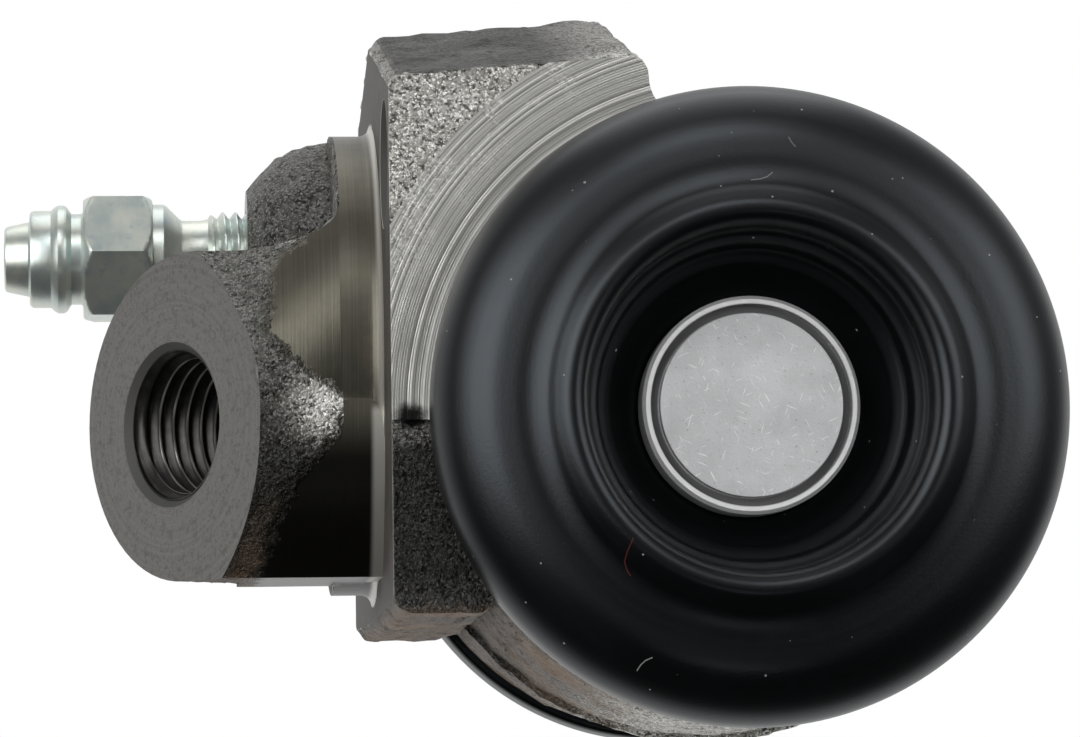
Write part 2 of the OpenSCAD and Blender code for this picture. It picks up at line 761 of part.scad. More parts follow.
// Rubber boot: a bead in the nose's groove, a domed front with a ridge,
// and a funnel of two soft folds back to the lip that grips the piston
module boot(side) {
    ridge_c = [boot_ridge_mid_r, boot_ridge - boot_ridge_r];
    inner_c = [boot_inner_r + boot_fold_r, boot_inner - boot_fold_r];
    step_c = (ridge_c + inner_c) / 2;
    dome_in_r = boot_ridge_mid_r + boot_ridge_r;
    behind = [boot_wall, -boot_wall] * fold_back;
    outer = concat(
        [[boot_r - boot_foot_taper, boot_foot]],
        arc([dome_in_r, boot_rim], boot_r - dome_in_r, ridge_c[1] - boot_rim, 0, dome_top, 14),
        arc(ridge_c, boot_ridge_r, boot_ridge_r, ridge_from, ridge_to, 8),
        arc(step_c, boot_fold_r, boot_fold_r, fold_from, fold_to, 5),
        arc(inner_c, boot_fold_r, boot_fold_r, fold_from, fold_to, 5),
        [[boot_nose_r + boot_wall / 2, boot_lip_out + boot_wall],
            [boot_nose_r, boot_lip_out + boot_wall / 2], [boot_nose_r, boot_lip_out],
            [boot_lip_r, boot_lip_out], [boot_lip_r, boot_lip_in]]);
    inner = [
        [boot_nose_r + boot_wall / 2, boot_lip_in], inner_c + behind, step_c + behind,
        ridge_c + [boot_ridge_r / 2, -boot_wall],
        [bore_r + mouth_chamfer, nose_end_y + 2 * boot_clear],
        [nose_r - nose_edge, nose_end_y + boot_clear], [boot_seat_r, nose_end_y - nose_edge],
        [boot_seat_r, bead_out], [bead_r, bead_out], [bead_r, bead_in],
        [boot_seat_r, bead_in], [boot_seat_r, boot_foot]];
    color(rubber)
        along_bore(side)
            rotate_extrude()
                polygon(concat(outer, inner));
}

body();
bleeder_screw();
piston(front);  // front_piston
piston(rear);  // rear_piston
cup(front);  // front_cup
cup(rear);  // rear_cup
cup_expander(front);  // front_cup_expander
cup_expander(rear);  // rear_cup_expander
return_spring();
boot(front);  // front_boot
boot(rear);  // rear_boot
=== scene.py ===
import json
import math

import bmesh
import bpy
import numpy as np
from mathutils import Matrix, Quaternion, Vector

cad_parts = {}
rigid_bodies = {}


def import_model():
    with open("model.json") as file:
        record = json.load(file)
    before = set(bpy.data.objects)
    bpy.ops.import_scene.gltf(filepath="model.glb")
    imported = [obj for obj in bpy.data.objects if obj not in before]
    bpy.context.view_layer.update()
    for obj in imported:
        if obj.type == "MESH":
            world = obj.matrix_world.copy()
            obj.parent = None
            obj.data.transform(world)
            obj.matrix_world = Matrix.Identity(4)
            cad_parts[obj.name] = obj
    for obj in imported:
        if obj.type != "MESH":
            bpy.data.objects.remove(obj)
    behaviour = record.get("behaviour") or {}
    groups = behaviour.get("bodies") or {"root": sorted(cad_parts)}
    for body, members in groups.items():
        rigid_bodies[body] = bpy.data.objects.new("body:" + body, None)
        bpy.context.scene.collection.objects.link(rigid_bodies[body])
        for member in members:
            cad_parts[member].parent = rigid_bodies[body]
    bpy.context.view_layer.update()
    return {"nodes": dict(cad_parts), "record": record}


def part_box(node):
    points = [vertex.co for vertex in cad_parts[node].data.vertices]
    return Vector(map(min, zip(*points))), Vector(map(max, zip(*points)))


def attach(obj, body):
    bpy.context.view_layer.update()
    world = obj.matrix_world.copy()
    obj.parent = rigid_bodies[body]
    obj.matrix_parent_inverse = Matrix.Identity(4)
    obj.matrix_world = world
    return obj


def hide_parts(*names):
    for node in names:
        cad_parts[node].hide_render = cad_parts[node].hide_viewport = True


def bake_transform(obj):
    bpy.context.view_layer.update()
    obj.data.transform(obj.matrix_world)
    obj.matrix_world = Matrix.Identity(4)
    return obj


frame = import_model()
nodes = frame["nodes"]
mounts = {mount["name"]: mount for mount in frame["record"]["mounts"]}
mm = 0.001
print("frame loaded:", len(nodes), "nodes")

# the bore axis runs along Y through the middle of the boots
bootLow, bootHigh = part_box("front_boot")
boreX = (bootLow.x + bootHigh.x) / 2
boreZ = (bootLow.z + bootHigh.z) / 2
inletAxis = np.array(mounts["inlet_port"]["axis"])
inletR = mounts["inlet_port"]["dims"]["r_mm"] * mm
inletMiddle = np.array(mounts["inlet_port"]["pos_m"])
pilotR = mounts["pilot"]["dims"]["r_mm"] * mm


# Geometry helpers

def gridFaces(rows, columns, closeRows=True):
    # quads between neighbouring points of a grid that is wrapped round, and end to end if asked
    index = np.arange(rows * columns).reshape(rows, columns)
    if closeRows:
        index = np.vstack([index, index[:1]])
    index = np.hstack([index, index[:, :1]])
    return np.stack([index[:-1, :-1], index[1:, :-1], index[1:, 1:], index[:-1, 1:]], -1).reshape(-1, 4)


def tubeFaces(rows, columns):
    # a tube closed at both ends by triangles to two points that follow those of the grid
    index = np.arange(rows * columns).reshape(rows, columns)
    faceSets = [gridFaces(rows, columns, False)]
    for ring, pole in ((index[0], index.size), (index[-1][::-1], index.size + 1)):
        faceSets.append(np.stack([ring, np.roll(ring, -1), np.full(columns, pole)], 1))
    return faceSets


def addObject(name, data):
    thing = bpy.data.objects.new(name, data)
    bpy.context.scene.collection.objects.link(thing)
    return thing


def addAttribute(piece, key, domain, values):
    attribute = piece.data.attributes.new(key, "FLOAT", domain)
    attribute.data.foreach_set("value", np.asarray(values, np.float32).ravel())


def makePiece(name, points, faceSets, sharpAngle=None):
    # faces are turned outwards by the sign of the volume that they close in
    points = np.asarray(points, float).reshape(-1, 3)
    volume = 0
    for faces in faceSets:
        a, b, c, d = (points[faces[:, k]] for k in (0, 1, 2, -1))
        volume += np.einsum("ij,ij->", a, np.cross(b, c) + np.cross(c, d))
    turned = [faces[:, ::-1] if volume < 0 else faces for faces in faceSets]
    mesh = bpy.data.meshes.new(name)
    mesh.from_pydata(points.tolist(), [], [face for faces in turned for face in faces.tolist()])
    mesh.polygons.foreach_set("use_smooth", np.ones(len(mesh.polygons), bool))
    if sharpAngle:
        mesh.set_sharp_from_angle(angle=math.radians(sharpAngle))
    mesh.update()
    return addObject(name, mesh)


def vee(turns):
    # triangular wave from 0 at whole turns to 1 halfway between them
    return np.abs(2 * (turns - np.floor(turns + 0.5)))


def smoothLine(points, perSpan):
    # Catmull-Rom curve through the points: each span is a cubic of its four nearest points
    points = np.asarray(points, float)
    before = np.vstack([2 * points[0] - points[1], points[:-2]])
    after = np.vstack([points[2:], 2 * points[-1] - points[-2]])
    start, end = points[:-1], points[1:]
    t = np.linspace(0, 1, perSpan, endpoint=False)[None, :, None]
    p0, p1, p2, p3 = (array[:, None] for array in (before, start, end, after))
    curve = 0.5 * (2 * p1 + (p2 - p0) * t + (2 * p0 - 5 * p1 + 4 * p2 - p3) * t ** 2
                   + (3 * p1 - p0 - 3 * p2 + p3) * t ** 3)
    return np.vstack([curve.reshape(-1, 2), points[-1:]])


def softNoise(points, size, seed, waves=28):
    # sum of sine waves in seeded directions, about -1 to 1, with bumps of about the given size
    draw = np.random.default_rng(seed)
    direction = draw.normal(size=(waves, 3))
    direction /= np.linalg.norm(direction, axis=1)[:, None]
    pitch = size * draw.uniform(0.7, 1.6, waves)
    shift = draw.uniform(0, 2 * np.pi, waves)
    return np.sin(points @ (direction / pitch[:, None]).T * 2 * np.pi + shift).sum(1) / np.sqrt(waves)


# Material helpers

def setInputs(tree, node, inputs):
    for key, value in inputs.items():
        if isinstance(value, bpy.types.NodeSocket):
            tree.links.new(value, node.inputs[key])
        else:
            node.inputs[key].default_value = value


def addNode(tree, kind, inputs=None, **settings):
    node = tree.nodes.new(kind)
    for key, value in settings.items():
        setattr(node, key, value)
    setInputs(tree, node, inputs or {})
    return node


def calc(tree, operation, first, second=0.0, clamp=False):
    node = addNode(tree, "ShaderNodeMath", {0: first, 1: second}, operation=operation, use_clamp=clamp)
    return node.outputs[0]


def times(tree, first, second):
    return calc(tree, "MULTIPLY", first, second)


def mixColor(tree, factor, first, second, blend="MIX"):
    inputs = {0: factor, 6: first, 7: second}
    return addNode(tree, "ShaderNodeMix", inputs, data_type="RGBA", blend_type=blend).outputs[2]


def mixValue(tree, factor, first, second):
    return addNode(tree, "ShaderNodeMix", {0: factor, 2: first, 3: second}, data_type="FLOAT").outputs[0]


def step(tree, value, low, high):
    node = addNode(tree, "ShaderNodeMapRange", {0: value, 1: low, 2: high}, interpolation_type="SMOOTHSTEP")
    return node.outputs[0]


def noise(tree, vector, scale, detail=4.0, rough=0.55):
    inputs = {"Vector": vector, "Scale": scale, "Detail": detail, "Roughness": rough}
    return addNode(tree, "ShaderNodeTexNoise", inputs).outputs["Fac"]


def axes(tree, vector):
    return addNode(tree, "ShaderNodeSeparateXYZ", {0: vector}).outputs


def vectors(tree, operation, first, second=None):
    # a vector calculation, or the value that it gives
    inputs = {0: first} if second is None else {0: first, 1: second}
    node = addNode(tree, "ShaderNodeVectorMath", inputs, operation=operation)
    gives = operation in ("LENGTH", "DISTANCE", "DOT_PRODUCT")
    return node.outputs["Value" if gives else "Vector"]


def radiusAbout(tree, place, centre, axis):
    # distance of a point from the line through centre along axis
    offset = vectors(tree, "SUBTRACT", place, centre)
    return vectors(tree, "LENGTH", vectors(tree, "CROSS_PRODUCT", offset, axis))


def readAttribute(tree, name):
    return addNode(tree, "ShaderNodeAttribute", attribute_name=name).outputs["Fac"]


def addBump(tree, shader, height, distance, strength):
    bump = addNode(tree, "ShaderNodeBump", {"Height": height, "Distance": distance, "Strength": strength})
    setInputs(tree, shader, {"Normal": bump.outputs[0]})


def newMaterial(name, sockets=None):
    material = bpy.data.materials.new(name)
    material.use_nodes = True
    tree = material.node_tree
    shader = tree.nodes["Principled BSDF"]
    setInputs(tree, shader, sockets or {})
    place = addNode(tree, "ShaderNodeTexCoord").outputs["Object"]
    return material, tree, shader, place


def newGroup(name, numbers, results):
    # nodes that take a place and some numbers, and give numbers
    tree = bpy.data.node_groups.new(name, "ShaderNodeTree")
    tree.interface.new_socket("Place", in_out="INPUT", socket_type="NodeSocketVector")
    for keys, way in ((numbers, "INPUT"), (results, "OUTPUT")):
        for key in keys:
            tree.interface.new_socket(key, in_out=way, socket_type="NodeSocketFloat")
    given = tree.nodes.new("NodeGroupInput").outputs
    return tree, given, tree.nodes.new("NodeGroupOutput")


def useGroup(tree, group, inputs):
    return addNode(tree, "ShaderNodeGroup", inputs, node_tree=group).outputs


# Tool marks: fine grooves at a steady feed, uneven in depth, along any distance in metres
def makeToolMarks():
    tree, given, leave = newGroup("toolMarks", ["Distance", "Feed"], ["Height", "Streak"])
    turns = calc(tree, "DIVIDE", given["Distance"], given["Feed"])
    ridge = calc(tree, "SINE", times(tree, turns, 2 * math.pi))
    line = addNode(tree, "ShaderNodeTexNoise", {"W": turns, "Scale": 0.55, "Detail": 4.0, "Roughness": 0.7},
                   noise_dimensions="1D").outputs["Fac"]
    patch = noise(tree, given["Place"], 700.0, 3.0)
    height = calc(tree, "ADD", times(tree, ridge, 0.15), times(tree, line, 1.6))
    height = times(tree, height, calc(tree, "ADD", patch, 0.35))
    setInputs(tree, leave, {"Height": height, "Streak": line})
    return tree


# Sand-cast grain: small facets of different brightness, dark pits between them and larger patches
def makeCastGrain():
    tree, given, leave = newGroup("castGrain", ["Size"], ["Height", "Pit", "Shine", "Patch"])
    place, size = given["Place"], given["Size"]
    coarse = noise(tree, place, size, 2.0, 0.5)
    fine = noise(tree, place, times(tree, size, 2.4), 2.0, 0.6)
    facet = addNode(tree, "ShaderNodeTexVoronoi", {"Vector": place, "Scale": times(tree, size, 1.7)})
    draw = addNode(tree, "ShaderNodeSeparateColor", {0: facet.outputs["Color"]}).outputs[0]
    patch = noise(tree, place, 420.0, 3.0, 0.6)
    hollow = noise(tree, place, times(tree, size, 0.45), 2.0, 0.6)
    height = coarse
    for form, share in ((fine, 0.5), (draw, 0.12), (hollow, 0.9)):
        height = calc(tree, "ADD", height, times(tree, form, share))
    dark = calc(tree, "ADD", coarse, calc(tree, "ADD", times(tree, draw, 0.3), hollow))
    bright = calc(tree, "ADD", fine, times(tree, draw, 0.5))
    setInputs(tree, leave, {"Height": height, "Pit": step(tree, dark, 1.18, 0.87),
                            "Shine": step(tree, bright, 0.78, 1.02), "Patch": patch})
    return tree


# Short scratches: thin streaks in four directions across an axis, broken into short runs
def makeScratches():
    tree, given, leave = newGroup("scratches", ["Size"], ["Mask"])
    total = 0.0
    for turn, shift in ((0.4, 0.0), (1.1, 0.013), (1.9, 0.031), (2.7, 0.047)):
        inputs = {"Vector": given["Place"], "Location": (shift, 0, shift), "Rotation": (0, turn, 0),
                  "Scale": (1, 1, 0.075)}
        turned = addNode(tree, "ShaderNodeMapping", inputs, vector_type="TEXTURE")
        streak = noise(tree, turned.outputs[0], given["Size"], 1.0, 0.4)
        total = calc(tree, "MAXIMUM", total, step(tree, streak, 0.7, 0.745))
    setInputs(tree, leave, {"Mask": total})
    return tree


# Dust: sparse pale specks of mixed size
def makeDust():
    tree, given, leave = newGroup("dust", ["Size", "Cover"], ["Mask"])
    speck = addNode(tree, "ShaderNodeTexVoronoi", {"Vector": given["Place"], "Scale": given["Size"]}).outputs
    draw = addNode(tree, "ShaderNodeSeparateColor", {0: speck["Color"]}).outputs
    reach = times(tree, draw[1], given["Cover"])
    chosen = calc(tree, "LESS_THAN", draw[0], 0.2)
    dot = calc(tree, "LESS_THAN", speck["Distance"], reach)
    setInputs(tree, leave, {"Mask": times(tree, dot, chosen)})
    return tree


toolMarks = makeToolMarks()
castGrain = makeCastGrain()
scratches = makeScratches()
dust = makeDust()
boreCentre = (boreX, 0, boreZ)
alongX, alongY = (1, 0, 0), (0, 1, 0)


# Body: the CAD casting cut into small triangles, its cast skin made slightly uneven

bodyLook = {
    "longestEdge": 1.0 * mm,     # of a triangle on the cast skin
    "skinLump": 1.7 * mm,        # size of the uneven lumps
    "skinDepth": 0.07 * mm,
    "facedLow": 21.95 * mm,      # distance from the middle of the bore to the faced pads
    "facedHigh": 22.4 * mm,
    # left edge of the turned part of the front flank: height, and distance out, in millimetres
    "turnedEdge": [(-14.0, -7.8), (-11.7, -7.0), (-10.6, -6.4), (-8.5, -5.7), (-6.9, -4.4), (-4.5, -2.3),
                   (-3.4, -2.3), (-1.3, -5.0), (0.8, -7.1), (5.3, -6.8), (6.4, -5.2), (8.6, -2.6),
                   (15.0, -2.6)],
    "pilotOut": 2.45 * mm,       # from the mounting face, just short of the end of the pilot
    "pilotEnd": 2.61 * mm,       # from the mounting face, just past the end of the pilot
    "inletFaceAhead": 5.45 * mm, # from the inlet mount's middle out to the boss's face
    "bleederFlat": -7.7 * mm,
    "onFace": 0.05 * mm,         # farthest that a face lies from the plane it belongs to
    "offFace": 0.02 * mm,        # least that a drilled face lies behind the plane it starts from
    # radius that takes in each drilled hole with its chamfer, and how far the hole goes
    "boreWall": 13.6 * mm, "boreHalf": 27 * mm,
    "inletWall": 5.2 * mm, "inletDeep": 13 * mm,
    "boltWall": 4.2 * mm, "boltDeep": 13.8 * mm, "boltSide": 20.6 * mm,
    "bleederWall": 3.2 * mm,
    # across and up from the pilot's centre
    "bolt": (16.2 * mm, 10.6 * mm), "boltR": 3.3 * mm,
    "bleeder": (4.6 * mm, 7.4 * mm),
    # the skin that is cut small lies outside this radius of the bore and between the faced ends
    "skinFrom": 14.5 * mm, "skinEnds": 22.1 * mm,
}
inletFace = inletMiddle + inletAxis * bodyLook["inletFaceAhead"]


def refine(points, triangles, longest, wanted):
    # splits every edge longer than the limit at its middle, again and again:
    # a triangle with one, two or three split edges becomes two, three or four
    while True:
        sides = triangles[:, [[0, 1], [1, 2], [2, 0]]]
        length = np.linalg.norm(points[sides[..., 0]] - points[sides[..., 1]], axis=-1)
        middle = points[sides].mean(2)
        long = (length > longest) & wanted(middle.reshape(-1, 3)).reshape(length.shape)
        if not long.any():
            return points, triangles
        pairs = np.sort(sides, -1).reshape(-1, 2)
        key = pairs[:, 0] * len(points) + pairs[:, 1]
        splitKeys = np.unique(key[long.ravel()])
        place = np.searchsorted(splitKeys, key).clip(max=len(splitKeys) - 1)
        isSplit = (splitKeys[place] == key).reshape(-1, 3)
        new = np.where(isSplit, place.reshape(-1, 3) + len(points), -1)
        ends = np.stack([splitKeys // len(points), splitKeys % len(points)], 1)
        points = np.vstack([points, points[ends].mean(1)])
        count = isSplit.sum(1)
        kept = [triangles[count == 0]]
        for number in (1, 2, 3):
            rows = np.flatnonzero(count == number)
            corner, mid, flags = triangles[rows], new[rows], isSplit[rows]
            if number < 3:  # turn each triangle so that its split edges come first
                lead = flags if number == 1 else ~np.roll(flags, 1, 1) & flags
                turn = (lead.argmax(1)[:, None] + np.arange(3)) % 3
                corner = np.take_along_axis(corner, turn, 1)
                mid = np.take_along_axis(mid, turn, 1)
            a, b, c = corner.T
            p, q, r = mid.T
            if number == 1:
                parts = [(a, p, c), (p, b, c)]
            elif number == 2:
                parts = [(a, p, c), (p, q, c), (p, b, q)]
            else:
                parts = [(a, p, r), (p, b, q), (r, q, c), (p, q, r)]
            kept += [np.stack(part, 1) for part in parts]
        triangles = np.vstack(kept)


def mergedMesh(node):
    # points and triangles of a copy of a CAD node with its loose triangles joined
    work = bmesh.new()
    work.from_mesh(nodes[node].data)
    bmesh.ops.remove_doubles(work, verts=work.verts, dist=0.0005 * mm)
    bmesh.ops.dissolve_limit(work, angle_limit=math.radians(0.3), verts=work.verts, edges=work.edges)
    bmesh.ops.triangulate(work, faces=work.faces, quad_method="BEAUTY", ngon_method="BEAUTY")
    copy = bpy.data.meshes.new(node + "Copy")
    work.to_mesh(copy)
    work.free()
    points = np.zeros(len(copy.vertices) * 3)
    copy.vertices.foreach_get("co", points)
    triangles = np.zeros(len(copy.polygons) * 3, int)
    copy.polygons.foreach_get("vertices", triangles)
    bpy.data.meshes.remove(copy)
    return points.reshape(-1, 3), triangles.reshape(-1, 3)


def bodyZones(points, triangles):
    # finish of each face from where it lies and which way it looks
    look = bodyLook
    a, b, c = points[triangles].transpose(1, 0, 2)
    normal = np.cross(b - a, c - a)
    normal /= np.linalg.norm(normal, axis=1)[:, None] + 1e-20
    middle = (a + b + c) / 3
    x, y, z = middle.T
    fromBore = np.hypot(x - boreX, z - boreZ)
    fromPilot = np.hypot(y, z)
    offset = middle - inletFace
    ahead = offset @ inletAxis
    fromInlet = np.linalg.norm(offset - ahead[:, None] * inletAxis, axis=1)
    faced = (np.abs(normal[:, 1]) > 0.99) & (np.abs(y) > look["facedLow"]) & (np.abs(y) < look["facedHigh"])
    nose = np.abs(y) > look["facedHigh"]
    inlet = (normal @ inletAxis > 0.99) & (np.abs(ahead) < look["onFace"])
    mount = (normal[:, 0] < -0.99) & (np.abs(x) < look["onFace"])
    spot = (normal[:, 0] < -0.99) & (np.abs(x - look["bleederFlat"]) < look["onFace"])
    radial = (normal[:, 1] * y + normal[:, 2] * z) / (fromPilot + 1e-9)
    edge = np.array(look["turnedEdge"]) * mm
    ragged = 0.35 * mm * softNoise(middle, 1.1 * mm, 8)
    leftEdge = np.where(y < 0, np.interp(z, edge[:, 0], edge[:, 1]), -look["pilotEnd"])
    onPilot = leftEdge > -look["pilotEnd"] - 2 * look["offFace"]
    turned = (x < look["offFace"]) & (x > leftEdge + np.where(onPilot, 0, ragged))
    turned &= (fromPilot > pilotR - 4 * mm) & (fromPilot < pilotR + 4 * mm)
    turned &= (radial > 0.55) | ((x > -0.9 * mm) & (radial > 0.02))
    (boltY, boltZ), (bleedY, bleedZ) = look["bolt"], look["bleeder"]
    inBore = (fromBore < look["boreWall"]) & (np.abs(y) < look["boreHalf"])
    inInlet = (fromInlet < look["inletWall"]) & (ahead < -look["offFace"]) & (ahead > -look["inletDeep"])
    inBolt = np.hypot(np.abs(y) - boltY, z - boltZ) < look["boltWall"]
    inBolt &= (x > look["offFace"]) & (x < look["boltDeep"]) & (np.abs(y) < look["boltSide"])
    inBleed = np.hypot(y - bleedY, z - bleedZ) < look["bleederWall"]
    inBleed &= (x > look["bleederFlat"] + look["offFace"]) & (x < boreX)
    drilled = inBore | inInlet | inBolt | inBleed
    return {"faced": faced, "nose": nose | spot, "inletFace": inlet, "flat": mount,
            "turned": turned & ~drilled, "drilled": drilled}


# Tones of the cast skin, with painted light and shade, by place in millimetres: rows of places, and the tone
# or share at each
toneLook = {
    "plain": 0.72,
    "uneven": (6 * mm, 0.12),    # size and depth of slow patches
    # both ends: distance from the middle of the bore, and tone by height
    "ends": ([20.3, 20.7], [0, 1]),
    "endTone": ([-7, -4.6, 4, 16], [0.12, 1.05, 1.55, 1.45]),
    # roof of the lug, painted shade: upward part of the normal, distance from the mounting face, lowest
    # height
    "roofFacing": ([0.7, 0.9], [0, 1]),
    "roofReach": ([10, 14], [1, 0]),
    "roofFrom": 8,
    "roofShade": 0.15,
    # flank beyond the mounting face, painted shade darker towards the bottom, with a painted highlight given
    # by its place, height, spread and strength
    "flankOut": -0.4,
    "flankTop": 6.5,
    "flankShade": ([-9, -5, -1], [0.08, 0.18, 0.4]),
    "glint": (-3.4, -3.7, 3.2, 2.8),
    "boss": (-5, 3),             # least distance along the bore and height
    # painted shade on the boss behind the flank
    "bossShade": 0.36,
    # tone, distance from the mounting face and height: painted light under the barrel, painted shade beside
    # the slab
    "under": (2.0, ([11, 16], [0, 1]), ([-19, -13], [1, 0])),
    "corner": (0.22, ([8, 13], [1, 0]), ([-16, -14.5], [1, 0])),
    "underBrownHeight": ([-20, -12], [1.0, 0.4]),
    "underBrownReach": ([7, 13, 17], [1.0, 0.7, 0.05]),
}


def bodyTonesAndPaintedLight(points, normal):
    # brightness of the cast skin, with painted light and shade, and brown on its low faces, from place and
    # direction
    look = toneLook
    x, y, z = points.T / mm
    size, depth = look["uneven"]
    rough = softNoise(points, size, 11) * depth

    def blend(value, other, share):
        return value + (other - value) * np.clip(share, 0, 1)

    toneAndPaintedLight = look["plain"] + rough
    toneAndPaintedLight = blend(toneAndPaintedLight, np.interp(z + rough * 4, *look["endTone"]), np.interp(np.abs(y), *look["ends"]))
    # painted shade: the roof of the lug, where it faces up, is darkened
    roof = np.interp(normal[:, 2], *look["roofFacing"]) * np.interp(x, *look["roofReach"])
    toneAndPaintedLight = blend(toneAndPaintedLight, look["roofShade"] + rough * 0.4, roof * (z > look["roofFrom"]))
    # painted highlight on the flank, and painted shade that darkens the flank towards its bottom
    out, height, spread, strength = look["glint"]
    glint = strength * np.exp(-((x - out) ** 2 + (z - height) ** 2) / spread)
    flank = x < look["flankOut"]
    toneAndPaintedLight = np.where(flank & (z < look["flankTop"]), np.interp(z, *look["flankShade"]) + glint, toneAndPaintedLight)
    # painted shade: the boss behind the flank is darkened
    bossY, bossZ = look["boss"]
    toneAndPaintedLight = np.where(flank & (y > bossY) & (z > bossZ), look["bossShade"], toneAndPaintedLight)
    # painted light under the barrel, and painted shade in the corner beside the slab
    for key, uneven in (("under", rough), ("corner", 0)):
        shade, reach, heights = look[key]
        toneAndPaintedLight = blend(toneAndPaintedLight, shade + uneven, np.interp(x, *reach) * np.interp(z, *heights))
    # brown on the low faces that look downwards
    low = np.clip((-normal[:, 2] - 0.2) * 1.4, 0, 1) * np.interp(z, *look["underBrownHeight"])
    underBrown = np.clip(low * (0.75 + 3 * rough) * np.interp(x, *look["underBrownReach"]), 0, 1)
    return {"toneAndPaintedLight": toneAndPaintedLight, "underBrown": underBrown}


def makeBody():
    look = bodyLook
    points, triangles = mergedMesh("body")

    def onSkin(place):
        inside = np.hypot(place[:, 0] - boreX, place[:, 2] - boreZ) < look["skinFrom"]
        deep = (place - inletFace) @ inletAxis
        off = place - inletFace - deep[:, None] * inletAxis
        inside |= (np.linalg.norm(off, axis=1) < look["inletWall"]) & (deep < -0.1 * mm)
        return ~inside & (np.abs(place[:, 1]) < look["skinEnds"])

    points, triangles = refine(points, triangles, look["longestEdge"], onSkin)
    zones = bodyZones(points, triangles)
    machined = np.any(list(zones.values()), axis=0)
    # corners that touch a machined face stay put, and the others move along their normals
    fixed = np.zeros(len(points), bool)
    fixed[triangles[machined].ravel()] = True
    a, b, c = points[triangles].transpose(1, 0, 2)
    normal = np.zeros_like(points)
    np.add.at(normal, triangles.ravel(), np.repeat(np.cross(b - a, c - a), 3, 0))
    normal /= np.linalg.norm(normal, axis=1)[:, None] + 1e-20
    lump = softNoise(points, look["skinLump"], 4) + 0.6 * softNoise(points, look["skinLump"] / 2.2, 5)
    move = np.where(fixed, 0, look["skinDepth"] * (lump - 0.6))
    points = points + normal * move[:, None]
    body = makePiece("castBody", points, [triangles], 28)
    del zones["turned"]
    for key, mask in zones.items():
        addAttribute(body, key, "FACE", mask)
    for key, value in bodyTonesAndPaintedLight(points, normal).items():
        addAttribute(body, key, "POINT", value)
    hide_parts("body")
    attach(body, "cylinder")
    print("body:", len(triangles), "triangles")
    return body


def turnedPart(tree, place, fromPilot):
    # one from the mounting face out to the ragged edge: a curve of height at the front, a round at the rear
    x, y, z = axes(tree, place)
    edge = np.array(bodyLook["turnedEdge"]) * mm
    low, high, far = edge[0, 0], edge[-1, 0], edge[:, 1].min()
    level = addNode(tree, "ShaderNodeMapRange", {0: z, 1: low, 2: high}).outputs[0]
    ramp = addNode(tree, "ShaderNodeValToRGB", {0: level})
    stops = ramp.color_ramp.elements
    while len(stops) < len(edge):
        stops.new(1.0)
    for stop, (height, out) in zip(stops, edge):
        stop.position = (height - low) / (high - low)
        stop.color = (out / far, out / far, out / far, 1)
    reach = addNode(tree, "ShaderNodeSeparateColor", {0: ramp.outputs[0]}).outputs[0]
    ragged = calc(tree, "SUBTRACT", noise(tree, place, 900.0, 4.0, 0.7), 0.5)
    reach = calc(tree, "ADD", times(tree, reach, -far), times(tree, ragged, 2.6 * mm))
    reach = mixValue(tree, step(tree, y, -1.0 * mm, 1.0 * mm), reach, bodyLook["pilotOut"])
    out = times(tree, x, -1.0)
    inside = step(tree, calc(tree, "SUBTRACT", reach, out), -0.5 * mm, 0.5 * mm)
    pilot = calc(tree, "LESS_THAN", out, bodyLook["pilotOut"])
    inside = calc(tree, "MAXIMUM", inside, pilot)
    outer = step(tree, fromPilot, pilotR - 2.4 * mm, pilotR - 1.4 * mm)
    ahead = calc(tree, "GREATER_THAN", out, -bodyLook["offFace"])
    return times(tree, times(tree, inside, outer), ahead)


ironLook = {
    "grainSize": 4300.0,
    "pit": (0.045, 0.043, 0.04, 1),
    "shine": (0.8, 0.795, 0.76, 1),
    "underBrown": (0.2, 0.13, 0.075, 1),
    # dark and bright shade of each finish
    "skin": ((0.25, 0.246, 0.224, 1), (0.35, 0.346, 0.322, 1)),
    "faced": ((0.235, 0.235, 0.222, 1), (0.63, 0.627, 0.593, 1)),
    "inlet": ((0.165, 0.161, 0.152, 1), (0.2, 0.195, 0.185, 1)),
    "turned": ((0.068, 0.064, 0.05, 1), (0.1, 0.094, 0.074, 1)),
    # the mounting face's near-black shades are painted shade
    "flat": ((0.05, 0.046, 0.041, 1), (0.075, 0.063, 0.051, 1)),
    # feed of the tool on three of them
    "facedFeed": 0.15 * mm, "inletFeed": 0.16 * mm, "turnedFeed": 0.09 * mm,
    "missedFrom": (19.5 * mm, 24 * mm),      # radius from which the facing tool misses patches
    "turnedPatch": (0.105, 0.097, 0.072, 1),
    "turnedShade": (0.004, 0.004, 0.003, 1),
    "turnedShadeHeight": (-3.5 * mm, -7.2 * mm),     # where the painted shade starts and is full
    "flatPit": (0.022, 0.02, 0.018, 1),
    "nose": (0.3, 0.295, 0.29, 1),
    # painted shade: the drilled holes are painted dark
    "drilled": (0.05, 0.049, 0.047, 1),
    "stepShadow": (0.008, 0.008, 0.008, 1),
    "stepShadowPlace": (1.1 * mm, -22 * mm, -5.15 * mm),
    "stepShadowScale": (1000.0, 500.0, 1150.0),  # one over its reach each way
    "brightEdgeAndHighlight": (0.62, 0.6, 0.55, 1),
}


